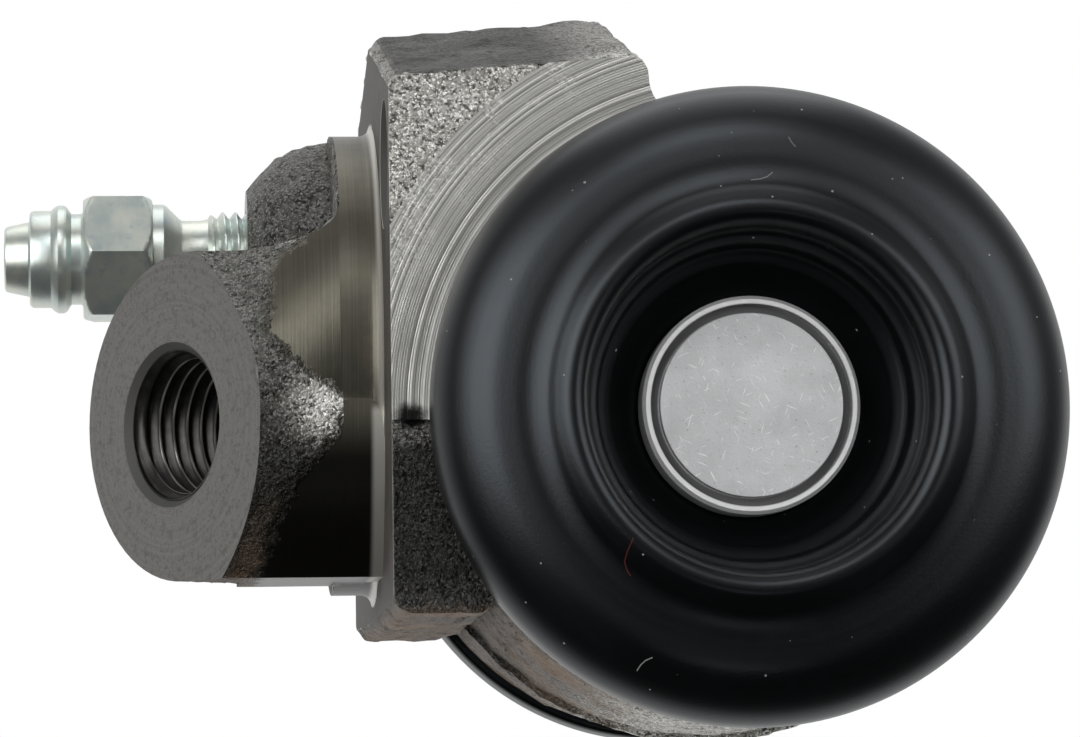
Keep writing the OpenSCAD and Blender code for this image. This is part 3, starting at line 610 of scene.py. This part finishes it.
def castIron():
    look = ironLook
    material, tree, shader, place = newMaterial("castIron")
    faced, inlet, nose, flat, drilled, toneAndPaintedLight, underBrown = (
        readAttribute(tree, key)
        for key in ("faced", "inletFace", "nose", "flat", "drilled", "toneAndPaintedLight", "underBrown"))
    grain = useGroup(tree, castGrain, {"Place": place, "Size": look["grainSize"]})
    fromBore = radiusAbout(tree, place, boreCentre, alongY)
    fromInlet = radiusAbout(tree, place, tuple(inletFace), tuple(inletAxis))
    fromPilot = radiusAbout(tree, place, (0, 0, 0), alongX)
    alongPilot, alongBore, up = axes(tree, place)
    turned = turnedPart(tree, place, fromPilot)
    patch = step(tree, grain["Patch"], 0.36, 0.66)

    def toolFinish(name, distance, high):
        # height of the tool marks, and their dark and bright shades
        inputs = {"Distance": distance, "Place": place, "Feed": look[name + "Feed"]}
        marks = useGroup(tree, toolMarks, inputs)
        return marks["Height"], mixColor(tree, step(tree, marks["Streak"], 0.3, high), *look[name])

    # cast skin: dark pits, pale worn grains, and slow patches of tone
    skin = mixColor(tree, patch, *look["skin"])
    skin = mixColor(tree, times(tree, grain["Pit"], 0.9), skin, look["pit"])
    skin = mixColor(tree, times(tree, grain["Shine"], 0.8), skin, look["shine"])
    # the tone attribute scales the skin: random tone, with painted shade and painted highlights
    dim = addNode(tree, "ShaderNodeCombineColor", {0: toneAndPaintedLight, 1: toneAndPaintedLight, 2: toneAndPaintedLight}).outputs[0]
    skin = mixColor(tree, 1.0, skin, dim, "MULTIPLY")
    # brown on the low faces that look downwards
    skin = mixColor(tree, underBrown, skin, look["underBrown"])
    # faced ends: soft bright and dark tool marks, with patches that the tool hardly touched
    facedHeight, facedColor = toolFinish("faced", fromBore, 0.72)
    missed = step(tree, grain["Patch"], 0.5, 0.62)
    missed = times(tree, missed, step(tree, fromBore, *look["missedFrom"]))
    facedColor = mixColor(tree, times(tree, missed, 0.6), facedColor, skin)
    inletHeight, inletColor = toolFinish("inlet", fromInlet, 0.7)
    inletColor = mixColor(tree, times(tree, grain["Pit"], 0.35), inletColor, look["pit"])
    # painted shade darkens the lower part of the turned flank
    turnedHeight, turnedColor = toolFinish("turned", alongPilot, 0.75)
    turnedColor = mixColor(tree, times(tree, patch, 0.5), turnedColor, look["turnedPatch"])
    turnedShadeShare = step(tree, up, *look["turnedShadeHeight"])
    turnedColor = mixColor(tree, times(tree, turnedShadeShare, 0.94), turnedColor, look["turnedShade"])
    # painted shade: the mounting face is painted near black
    flatColor = mixColor(tree, patch, *look["flat"])
    flatColor = mixColor(tree, times(tree, grain["Pit"], 0.5), flatColor, look["flatPit"])
    color = skin
    for share, finish in ((turned, turnedColor), (faced, facedColor), (nose, look["nose"]),
                          (inlet, inletColor), (flat, flatColor), (drilled, look["drilled"])):
        color = mixColor(tree, share, color, finish)
    # painted shadow: one black patch at the step on the front end, by the edge of the flange
    ragged = noise(tree, place, 1500.0, 3.0)
    spot = vectors(tree, "SUBTRACT", place, look["stepShadowPlace"])
    spot = vectors(tree, "LENGTH", vectors(tree, "MULTIPLY", spot, look["stepShadowScale"]))
    stepShadowMask = step(tree, calc(tree, "ADD", spot, ragged), 1.7, 0.9)
    color = mixColor(tree, stepShadowMask, color, look["stepShadow"])
    # pale: the flange's edge at the mounting face, and a painted highlight along the fillet at the pilot's
    # root
    ends = calc(tree, "SUBTRACT", calc(tree, "ABSOLUTE", alongBore), bodyLook["facedLow"])
    rim = calc(tree, "ADD", calc(tree, "ABSOLUTE", ends), calc(tree, "ABSOLUTE", alongPilot))
    brightEdgeAndHighlight = times(tree, step(tree, rim, 0.4 * mm, 0.15 * mm), ragged)
    root = times(tree, step(tree, fromPilot, pilotR + 0.06 * mm, pilotR + 0.3 * mm),
                 step(tree, alongPilot, -0.9 * mm, -0.5 * mm))
    root = times(tree, root, calc(tree, "SUBTRACT", turned, flat, True))
    brightEdgeAndHighlight = calc(tree, "MAXIMUM", brightEdgeAndHighlight, times(tree, root, 0.7))
    color = mixColor(tree, brightEdgeAndHighlight, color, look["brightEdgeAndHighlight"])
    smooth = faced
    for share in (nose, inlet, flat, turned, drilled):
        smooth = calc(tree, "MAXIMUM", smooth, share)
    dull = calc(tree, "MAXIMUM", flat, drilled)
    rough = mixValue(tree, dull, mixValue(tree, smooth, 0.52, 0.38), 0.65)
    metal = mixValue(tree, dull, 0.75, 0.25)
    setInputs(tree, shader, {"Base Color": color, "Roughness": rough, "Metallic": metal})
    height = times(tree, grain["Height"], calc(tree, "SUBTRACT", 1.0, smooth))
    for share, marks, depth in ((faced, facedHeight, 0.06), (inlet, inletHeight, 0.012),
                                (turned, turnedHeight, 0.02)):
        height = calc(tree, "ADD", height, times(tree, times(tree, marks, share), depth))
    addBump(tree, shader, height, 0.34 * mm, 0.9)
    return material


castBody = makeBody()
castBody.data.materials.append(castIron())


# Boots: a smooth profile turned about the bore, between the body and its piston

bootLook = {
    "turnSteps": 220,
    "perSpan": 7,
    # radius and distance along the bore from the middle of the body, in millimetres
    "outside": [(16.8, 22.5), (18.1, 22.5), (18.55, 22.75), (18.7, 23.6), (18.75, 24.7), (18.55, 26.0),
                (17.9, 27.2), (16.9, 28.1), (15.7, 28.7), (14.4, 29.0), (13.3, 29.15), (12.5, 29.42),
                (11.9, 29.86), (11.3, 30.22), (10.75, 30.26), (10.3, 29.95), (10.05, 29.35),
                (9.98, 28.7), (10.0, 28.1), (9.92, 27.65), (9.6, 27.3), (9.3, 26.8),
                (9.18, 26.2), (9.06, 25.6), (8.7, 25.2), (8.35, 24.75),
                (8.15, 24.2), (7.85, 23.6), (7.45, 23.05), (7.0, 22.65), (6.53, 22.4)],
    "inside": [(6.5, 22.37), (5.53, 22.37), (5.53, 21.03), (7.3, 21.03), (8.4, 22.6), (9.5, 23.6),
               (10.2, 24.6), (10.9, 26.0), (11.6, 27.6), (13.5, 26.26), (16.2, 26.13), (16.72, 25.6),
               (16.72, 24.18), (15.84, 24.18), (15.84, 23.04), (16.72, 23.04)],
    # colour of each bit of lint and its corners, across and up from the bore's axis in millimetres
    "lint": [((0.16, 0.16, 0.15, 1), [(-7.3, -15.45), (-7.12, -15.15), (-6.85, -14.9), (-6.5, -14.75)]),
             ((0.05, 0.009, 0.007, 1), [(-7.65, -8.0), (-7.95, -8.7), (-8.1, -9.3), (-7.95, -9.8),
                                        (-7.75, -10.1)]),
             ((0.09, 0.09, 0.085, 1), [(-0.4, 12.6), (0.1, 12.65), (0.55, 12.8), (0.85, 13.05)]),
             ((0.08, 0.08, 0.075, 1), [(1.9, 15.15), (2.05, 14.85), (2.25, 14.6)]),
             ((0.0, 0.0, 0.0, 1), [(11.1, 0.75), (11.7, 0.85), (12.6, 0.7)])],
    "lintR": 0.04 * mm,
    "stretchFrom": 11.6,         # radius: outside it the share in makeBoot is nought
    "stretchTo": 7.2,            # radius: inside it the share in makeBoot is one
}


def makeBoot(side, name):
    look = bootLook
    profile = np.vstack([smoothLine(look["outside"], look["perSpan"]), look["inside"]]) * mm
    angle = np.linspace(0, 2 * np.pi, look["turnSteps"], endpoint=False)
    radius, along = profile[:, :1], profile[:, 1:] * np.ones_like(angle)
    points = np.stack([boreX + radius * np.cos(angle), side * along, boreZ + radius * np.sin(angle)], -1)
    boot = makePiece(name + "Skin", points, [gridFaces(len(profile), len(angle))], 50)
    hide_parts(name)
    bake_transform(boot)
    # a share that runs from nought at the rim to one at the lip, by the radius
    share = (look["stretchFrom"] - profile[:, 0] / mm) / (look["stretchFrom"] - look["stretchTo"])
    share = np.clip(share, 0, 1)
    print(name, len(profile) * len(angle), "points")
    return boot


def threadMask(tree, place, start, end, width):
    # one where a point seen along the bore lies within the width of a straight bit of lint
    start, run = (start[0], 0, start[1]), (end[0] - start[0], 0, end[1] - start[1])
    offset = vectors(tree, "SUBTRACT", vectors(tree, "MULTIPLY", place, (1, 0, 1)), start)
    share = calc(tree, "DIVIDE", vectors(tree, "DOT_PRODUCT", offset, run), np.dot(run, run), True)
    foot = addNode(tree, "ShaderNodeVectorMath", {0: run, "Scale": share}, operation="SCALE").outputs[0]
    return step(tree, vectors(tree, "DISTANCE", offset, foot), width, width * 0.6)


def bootRubber():
    sheen = {"Specular IOR Level": 0.42, "Specular Tint": (0.86, 0.93, 1.0, 1)}
    material, tree, shader, place = newMaterial("bootRubber", sheen)
    fromBore = radiusAbout(tree, place, boreCentre, alongY)
    marks = useGroup(tree, toolMarks, {"Distance": fromBore, "Place": place, "Feed": 0.6 * mm})
    specks = useGroup(tree, dust, {"Place": place, "Size": 1400.0, "Cover": 0.11})
    bloom = noise(tree, place, 160.0, 5.0, 0.65)
    color = mixColor(tree, step(tree, bloom, 0.35, 0.75), (0.0009, 0.001, 0.0011, 1),
                     (0.0022, 0.0024, 0.0027, 1))
    color = mixColor(tree, times(tree, specks["Mask"], 0.6), color, (0.3, 0.3, 0.29, 1))
    # lint and a dark nick on the front boot
    front = calc(tree, "LESS_THAN", axes(tree, place)[1], 0.0)
    for shade, ends in bootLook["lint"]:
        line = np.array([boreX, boreZ]) + np.array(ends) * mm
        for start, end in zip(line[:-1], line[1:]):
            mask = times(tree, threadMask(tree, place, start, end, bootLook["lintR"]), front)
            color = mixColor(tree, mask, color, shade)
    ring = times(tree, marks["Streak"], 0.12)
    setInputs(tree, shader, {"Base Color": color, "Roughness": calc(tree, "ADD", 0.31, ring)})
    height = calc(tree, "ADD", times(tree, noise(tree, place, 5200.0, 3.0), 0.25), ring)
    addBump(tree, shader, height, 0.06 * mm, 0.5)
    return material


bootMaterial = bootRubber()
for bootSide, bootEnd in ((-1, "front"), (1, "rear")):
    boot = makeBoot(bootSide, bootEnd + "_boot")
    boot.data.materials.append(bootMaterial)


# Bleeder screw: one turned profile with a rolled thread, and a hex between two chamfer cones

screwLow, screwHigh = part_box("bleeder_screw")
screwLook = {
    "turnSteps": 96,
    "pitch": 0.8,                # of the thread, in millimetres
    "threadDepth": 0.42,
    "threadFrom": 4.6,           # distance out from the mounting face, in millimetres
    "threadTo": 10.15,
    "hexFlat": 7.6,              # across the flats
    "hexFrom": 13.7,
    "hexTo": 18.1,
    "hexCut": 0.64,              # drop of each chamfer cone below the corners
    # radius and distance out of the turned profile, up to the hex and after it
    "inner": [(1.4, -2.6), (3.0, -1.0), (3.0, 4.55)],
    "neck": [(2.45, 10.6), (2.45, 11.75), (2.55, 11.95), (3.38, 12.78), (3.5, 13.0), (3.5, 13.66)],
    "nipple": [(3.0, 18.12), (2.9, 18.25), (2.9, 18.85), (3.35, 19.15), (3.45, 19.35), (3.45, 19.7),
               (3.3, 19.95), (3.1, 20.15), (3.1, 21.25), (3.02, 21.42), (2.88, 21.5), (2.45, 21.5),
               (2.38, 21.58), (2.12, 22.8), (2.05, 23.0), (1.9, 23.1), (1.0, 23.1), (0.95, 23.0),
               (0.95, 0.6)],
    "tips": (-2.6, 0.3),         # distance out of the points that close the seat cone and the drilling
    "hexSteps": [0, 0.12, 0.25, 0.4, 0.6, 0.9, 1.6],    # in from either end of the hex
}


def makeScrew():
    look = screwLook
    angle = np.linspace(0, 2 * np.pi, look["turnSteps"], endpoint=False)
    flat = look["hexFlat"] / 2
    acrossFlat = (angle + np.pi / 6) % (np.pi / 3) - np.pi / 6
    hexagon = flat / np.cos(acrossFlat)
    corner = flat / math.cos(math.pi / 6)

    def turned(profile):
        profile = np.array(profile)
        return np.repeat(profile[:, :1], len(angle), 1), profile[:, 1]

    # the thread's radius falls with a V wave of the distance less the turn, and fades at its end
    along = np.linspace(look["threadFrom"], look["threadTo"], 112)
    fade = np.clip((look["threadTo"] - along) / 0.5, 0, 1)
    wave = vee(along[:, None] / look["pitch"] - angle / (2 * np.pi))
    groove = look["threadDepth"] * (1 - np.clip(wave * 1.25 - 0.1, 0, 1))
    thread = look["inner"][-1][0] - groove - 0.3 * (1 - fade[:, None])
    # the hex is the smaller of the hexagon and the chamfer cones at its two ends
    steps = np.array(look["hexSteps"])
    hexLength = look["hexTo"] - look["hexFrom"]
    hexAlong = look["hexFrom"] + np.concatenate([steps, hexLength - steps[-2::-1]])
    edge = np.minimum(hexAlong - look["hexFrom"], look["hexTo"] - hexAlong)
    hexBody = np.minimum(hexagon, corner - look["hexCut"] + edge[:, None] * 1.15)
    parts = [turned(look["inner"]), (thread, along), turned(look["neck"]), (hexBody, hexAlong),
             turned(look["nipple"])]
    radius = np.vstack([part[0] for part in parts])
    distance = np.concatenate([part[1] for part in parts])[:, None]
    middleY, middleZ = (screwLow.y + screwHigh.y) / 2, (screwLow.z + screwHigh.z) / 2
    points = np.stack([np.broadcast_to(-distance * mm, radius.shape), middleY + radius * mm * np.sin(angle),
                       middleZ + radius * mm * np.cos(angle)], -1).reshape(-1, 3)
    poles = [(-tip * mm, middleY, middleZ) for tip in look["tips"]]
    screw = makePiece("bleederScrew", np.vstack([points, poles]), tubeFaces(*radius.shape), 27)
    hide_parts("bleeder_screw")
    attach(screw, "bleeder")
    print("bleeder screw:", len(points), "points")
    return screw


def zincPlate():
    material, tree, shader, place = newMaterial("zincPlate", {"Metallic": 0.85})
    inputs = {"Distance": axes(tree, place)[0], "Place": place, "Feed": 0.12 * mm}
    marks = useGroup(tree, toolMarks, inputs)
    cloud = noise(tree, place, 420.0, 4.0, 0.6)
    color = mixColor(tree, step(tree, cloud, 0.3, 0.7), (0.46, 0.53, 0.52, 1), (0.62, 0.64, 0.57, 1))
    spots = step(tree, noise(tree, place, 900.0, 3.0), 0.58, 0.75)
    color = mixColor(tree, spots, color, (0.44, 0.5, 0.51, 1))
    setInputs(tree, shader, {"Base Color": color, "Roughness": mixValue(tree, cloud, 0.26, 0.42)})
    addBump(tree, shader, marks["Streak"], 0.02 * mm, 0.6)
    return material


makeScrew().data.materials.append(zincPlate())


# Tapped holes: a thin sleeve against the drilled wall, whose inside is a V thread

tapLook = {
    "turnSteps": 96,
    "rowsPerTurn": 9,
    "wall": 0.012 * mm,          # gap to the drilled wall
    "inlet": (1.06 * mm, 0.5 * mm, 0.4 * mm, 10.4 * mm),    # pitch, depth, start and end of the thread
    "bolt": (1.25 * mm, 0.55 * mm, 0.6 * mm, 11.9 * mm),
}


def makeTap(name, mouth, inward, holeR, size):
    look = tapLook
    pitch, depth, start, end = size
    inward = np.array(inward, float)
    side = np.cross(inward, (0, 0, 1))
    side /= np.linalg.norm(side)
    up = np.cross(side, inward)
    rows = int((end - start) / pitch * look["rowsPerTurn"])
    along = np.linspace(start, end, rows)[:, None]
    angle = np.linspace(0, 2 * np.pi, look["turnSteps"], endpoint=False)
    crest = np.clip(1.3 * vee(along / pitch - angle / (2 * np.pi)) - 0.15, 0, 1)
    fade = np.clip((along - start) / (0.8 * pitch), 0, 1)
    inside = holeR - look["wall"] * 2 - depth * crest * (0.25 + 0.75 * fade)
    outside = np.full_like(inside, holeR - look["wall"])[::-1]
    radius = np.vstack([inside, outside])
    distance = np.vstack([along, along[::-1]])[..., None]
    around = np.cos(angle)[:, None] * side + np.sin(angle)[:, None] * up
    points = np.asarray(mouth) + distance * inward + radius[..., None] * around
    tap = makePiece(name, points, [gridFaces(*radius.shape)])
    addAttribute(tap, "crest", "POINT", np.vstack([crest * fade, np.zeros_like(crest)]))
    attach(tap, "cylinder")
    return tap


def tappedIron():
    material, tree, shader, place = newMaterial("tappedIron", {"Metallic": 0.8, "Roughness": 0.34})
    # painted shade: the tapped threads are painted near black, with a painted highlight on their crests
    cloud = noise(tree, place, 1800.0, 3.0)
    color = mixColor(tree, cloud, (0.012, 0.0115, 0.011, 1), (0.06, 0.058, 0.055, 1))
    crest = step(tree, readAttribute(tree, "crest"), 0.86, 1.0)
    setInputs(tree, shader, {"Base Color": mixColor(tree, crest, color, (0.62, 0.6, 0.57, 1))})
    return material


tappedFinish = tappedIron()
taps = [makeTap("inletThread", inletFace, -inletAxis, inletR, tapLook["inlet"])]
boltOut, boltUp = bodyLook["bolt"]
for number, boltSide in ((1, -1), (2, 1)):
    taps.append(makeTap("boltThread%d" % number, (0, boltSide * boltOut, boltUp), alongX, bodyLook["boltR"],
                        tapLook["bolt"]))
for tap in taps:
    tap.data.materials.append(tappedFinish)
print("tapped holes ready")


# Return spring: a round wire along a helix, in two halves that meet at the middle of the bore

springLook = {
    "wireR": 0.5 * mm,
    "coilR": 5.5 * mm,
    "half": 9.35 * mm,           # from the middle to the wire's centre at a closed end
    "closedPitch": 1.04 * mm,
    "freeTurns": 2,              # in each half, before one closed turn
    "stepsPerTurn": 72,
    "wireSides": 16,
}


def makeSpringHalf(side):
    look = springLook
    allTurns = look["freeTurns"] + 1
    turns = np.linspace(0, allTurns, look["stepsPerTurn"] * allTurns + 1)
    free = look["half"] - look["closedPitch"]
    along = np.interp(turns, [0, look["freeTurns"], allTurns], [0, free, look["half"]])
    angle = 2 * np.pi * turns * side
    outward = np.stack([np.cos(angle), np.zeros_like(angle), np.sin(angle)], 1)
    centre = np.array(boreCentre) + look["coilR"] * outward + along[:, None] * np.array([0, side, 0])
    forward = np.gradient(centre, axis=0)
    forward /= np.linalg.norm(forward, axis=1)[:, None]
    upward = np.cross(forward, outward)
    turn = np.linspace(0, 2 * np.pi, look["wireSides"], endpoint=False)[:, None]
    ring = np.cos(turn) * outward[:, None] + np.sin(turn) * upward[:, None]
    points = centre[:, None] + look["wireR"] * ring
    tube = np.vstack([points.reshape(-1, 3), centre[:1], centre[-1:]])
    name = "springFront" if side < 0 else "springRear"
    half = makePiece(name, tube, tubeFaces(*points.shape[:2]), 50)
    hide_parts("return_spring")
    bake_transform(half)
    return half


# Pistons, cups and expanders keep their CAD solids

def pistonMetal():
    material, tree, shader, place = newMaterial("pistonMetal", {"Metallic": 0.7})
    pores = noise(tree, place, 5200.0, 4.0, 0.7)
    cloud = noise(tree, place, 260.0, 4.0)
    marks = useGroup(tree, scratches, {"Place": place, "Size": 800.0})
    color = mixColor(tree, step(tree, cloud, 0.3, 0.7), (0.5, 0.505, 0.51, 1), (0.62, 0.625, 0.63, 1))
    color = mixColor(tree, step(tree, pores, 0.6, 0.7), color, (0.22, 0.22, 0.22, 1))
    color = mixColor(tree, times(tree, marks["Mask"], 0.8), color, (0.9, 0.9, 0.9, 1))
    # the ring groove is dark and the rim outside it is worn bright
    radius = radiusAbout(tree, place, boreCentre, alongY)
    color = mixColor(tree, step(tree, radius, 5.92 * mm, 6.02 * mm), color, (0.78, 0.78, 0.78, 1))
    groove = times(tree, step(tree, radius, 5.3 * mm, 5.5 * mm), step(tree, radius, 5.96 * mm, 5.88 * mm))
    color = mixColor(tree, groove, color, (0.16, 0.16, 0.16, 1))
    setInputs(tree, shader, {"Base Color": color, "Roughness": mixValue(tree, groove, 0.48, 0.7)})
    addBump(tree, shader, pores, 0.04 * mm, 0.5)
    return material


def cloudy(name, metal, grain, shades, rough):
    # a plain finish that drifts between two shades
    material, tree, shader, place = newMaterial(name, {"Metallic": metal})
    cloud = noise(tree, place, *grain)
    setInputs(tree, shader, {"Base Color": mixColor(tree, cloud, *shades),
                             "Roughness": mixValue(tree, cloud, *rough)})
    return material


def dress(node, material):
    data = nodes[node].data
    data.materials.clear()
    data.materials.append(material)


pistonFinish = pistonMetal()
cupFinish = cloudy("cupRubber", 0.0, (1500.0, 4.0), ((0.02, 0.02, 0.021, 1), (0.045, 0.045, 0.046, 1)),
                   (0.5, 0.7))
springFinish = cloudy("springSteel", 1.0, (900.0, 5.0, 0.6), ((0.4, 0.4, 0.41, 1), (0.6, 0.6, 0.61, 1)),
                      (0.22, 0.38))
for end in ("front", "rear"):
    dress(end + "_piston", pistonFinish)
    dress(end + "_cup", cupFinish)
    dress(end + "_cup_expander", springFinish)
for springSide, springPlunger in ((-1, "front_plunger"), (1, "rear_plunger")):
    makeSpringHalf(springSide).data.materials.append(springFinish)


# Camera, lights, floor and background

cameraLook = {
    "place": (-15.91, -290.0, -28.15),   # millimetres
    "yaw": -5.251, "pitch": 5.48, "roll": 0.8,
    "focal": 4609.7,             # pixels, on the 1080 pixel wide frame
    "wide": 1080,
}


def makeCamera():
    look = cameraLook
    data = bpy.data.cameras.new("photoCamera")
    data.sensor_width = 36
    data.lens = look["focal"] / look["wide"] * data.sensor_width
    data.clip_start, data.clip_end = 0.01, 20
    camera = addObject("photoCamera", data)
    camera.location = Vector(look["place"]) * mm
    yaw, pitch = math.radians(look["yaw"]), math.radians(look["pitch"])
    ahead = Vector((-math.sin(yaw) * math.cos(pitch), math.cos(yaw) * math.cos(pitch), math.sin(pitch)))
    turn = Quaternion((0, 0, 1), -math.radians(look["roll"]))
    camera.rotation_euler = (ahead.to_track_quat("-Z", "Y") @ turn).to_euler()
    bpy.context.scene.camera = camera


stageLook = {
    "floorZ": -29 * mm,          # under the object and just under the camera
    "floorHalf": 1.6,
    "floor": {"Base Color": (0.7, 0.7, 0.7, 1), "Roughness": 0.6},
    "plainFrom": (0.06, 0.2),    # distance at which the floor starts and ends turning to plain white
    # where the soft panels point, and the place, size and power of each
    "aim": (0.01, 0, 0),
    "left": ((-0.34, -0.39, 0.12), 0.44, 2.7),
    "right": ((0.44, -0.4, 0.16), 0.4, 1.6),
    "top": ((0.0, 0.1, 0.6), 0.5, 1.2),
    "front": ((0.02, -0.42, 0.38), 0.2, 0.6),
    "low": ((0.045, -0.4, -0.22), 0.09, 0.08),
}


def addPanel(name, place, size, power):
    data = bpy.data.lights.new(name, "AREA")
    data.shape = "SQUARE"
    data.size = size
    data.energy = power
    lamp = addObject(name, data)
    lamp.location = place
    toObject = Vector(stageLook["aim"]) - Vector(place)
    lamp.rotation_euler = toObject.to_track_quat("-Z", "Y").to_euler()


def rayKinds(tree):
    # what the camera sees itself, and what it sees mirrored or through glass
    rays = addNode(tree, "ShaderNodeLightPath").outputs
    return rays["Is Camera Ray"], calc(tree, "MAXIMUM", rays["Is Glossy Ray"], rays["Is Transmission Ray"])


def makeStage():
    look = stageLook
    half = look["floorHalf"]
    corners = np.array([(-half, -half), (half, -half), (half, half), (-half, half)])
    points = np.column_stack([corners, np.full(4, look["floorZ"])])
    floor = makePiece("floor", points, [np.array([[0, 1, 2, 3]])])
    material, tree, shader, place = newMaterial("paleFloor", look["floor"])
    # the camera and mirrored rays see the lit floor under the object turn to plain white further out
    seen = calc(tree, "MAXIMUM", *rayKinds(tree))
    plain = times(tree, step(tree, vectors(tree, "LENGTH", place), *look["plainFrom"]), seen)
    white = addNode(tree, "ShaderNodeEmission", {"Color": (1, 1, 1, 1)}).outputs[0]
    mixed = addNode(tree, "ShaderNodeMixShader", {0: plain, 1: shader.outputs[0], 2: white}).outputs[0]
    setInputs(tree, tree.nodes["Material Output"], {"Surface": mixed})
    floor.data.materials.append(material)
    # mirrored rays pass the floor and meet the white backdrop or the dark room of the world
    floor.visible_glossy = False
    for name in ("left", "right", "top", "front", "low"):
        addPanel(name + "Panel", *look[name])
    world = bpy.data.worlds.new("studio")
    bpy.context.scene.world = world
    world.use_nodes = True
    tree = world.node_tree
    away, up = axes(tree, addNode(tree, "ShaderNodeTexCoord").outputs["Generated"])[1:]
    behind = step(tree, away, -0.25, 0.3)
    above = step(tree, up, -0.2, 0.5)
    room = mixColor(tree, above, (0.004, 0.004, 0.004, 1), (0.06, 0.06, 0.062, 1))
    high = step(tree, up, -0.25, 0.05)
    backdrop = mixColor(tree, high, (0.1, 0.1, 0.1, 1), (0.5, 0.5, 0.5, 1))
    room = mixColor(tree, behind, room, backdrop)
    # the camera sees white all round, mirrored rays see it behind the object
    direct, mirrored = rayKinds(tree)
    seen = calc(tree, "MAXIMUM", direct, times(tree, mirrored, step(tree, away, 0.15, 0.65)))
    setInputs(tree, tree.nodes["Background"], {"Color": mixColor(tree, seen, room, (1, 1, 1, 1))})


makeCamera()
makeStage()
bpy.context.scene.view_settings.view_transform = "Standard"
print("camera and stage ready")
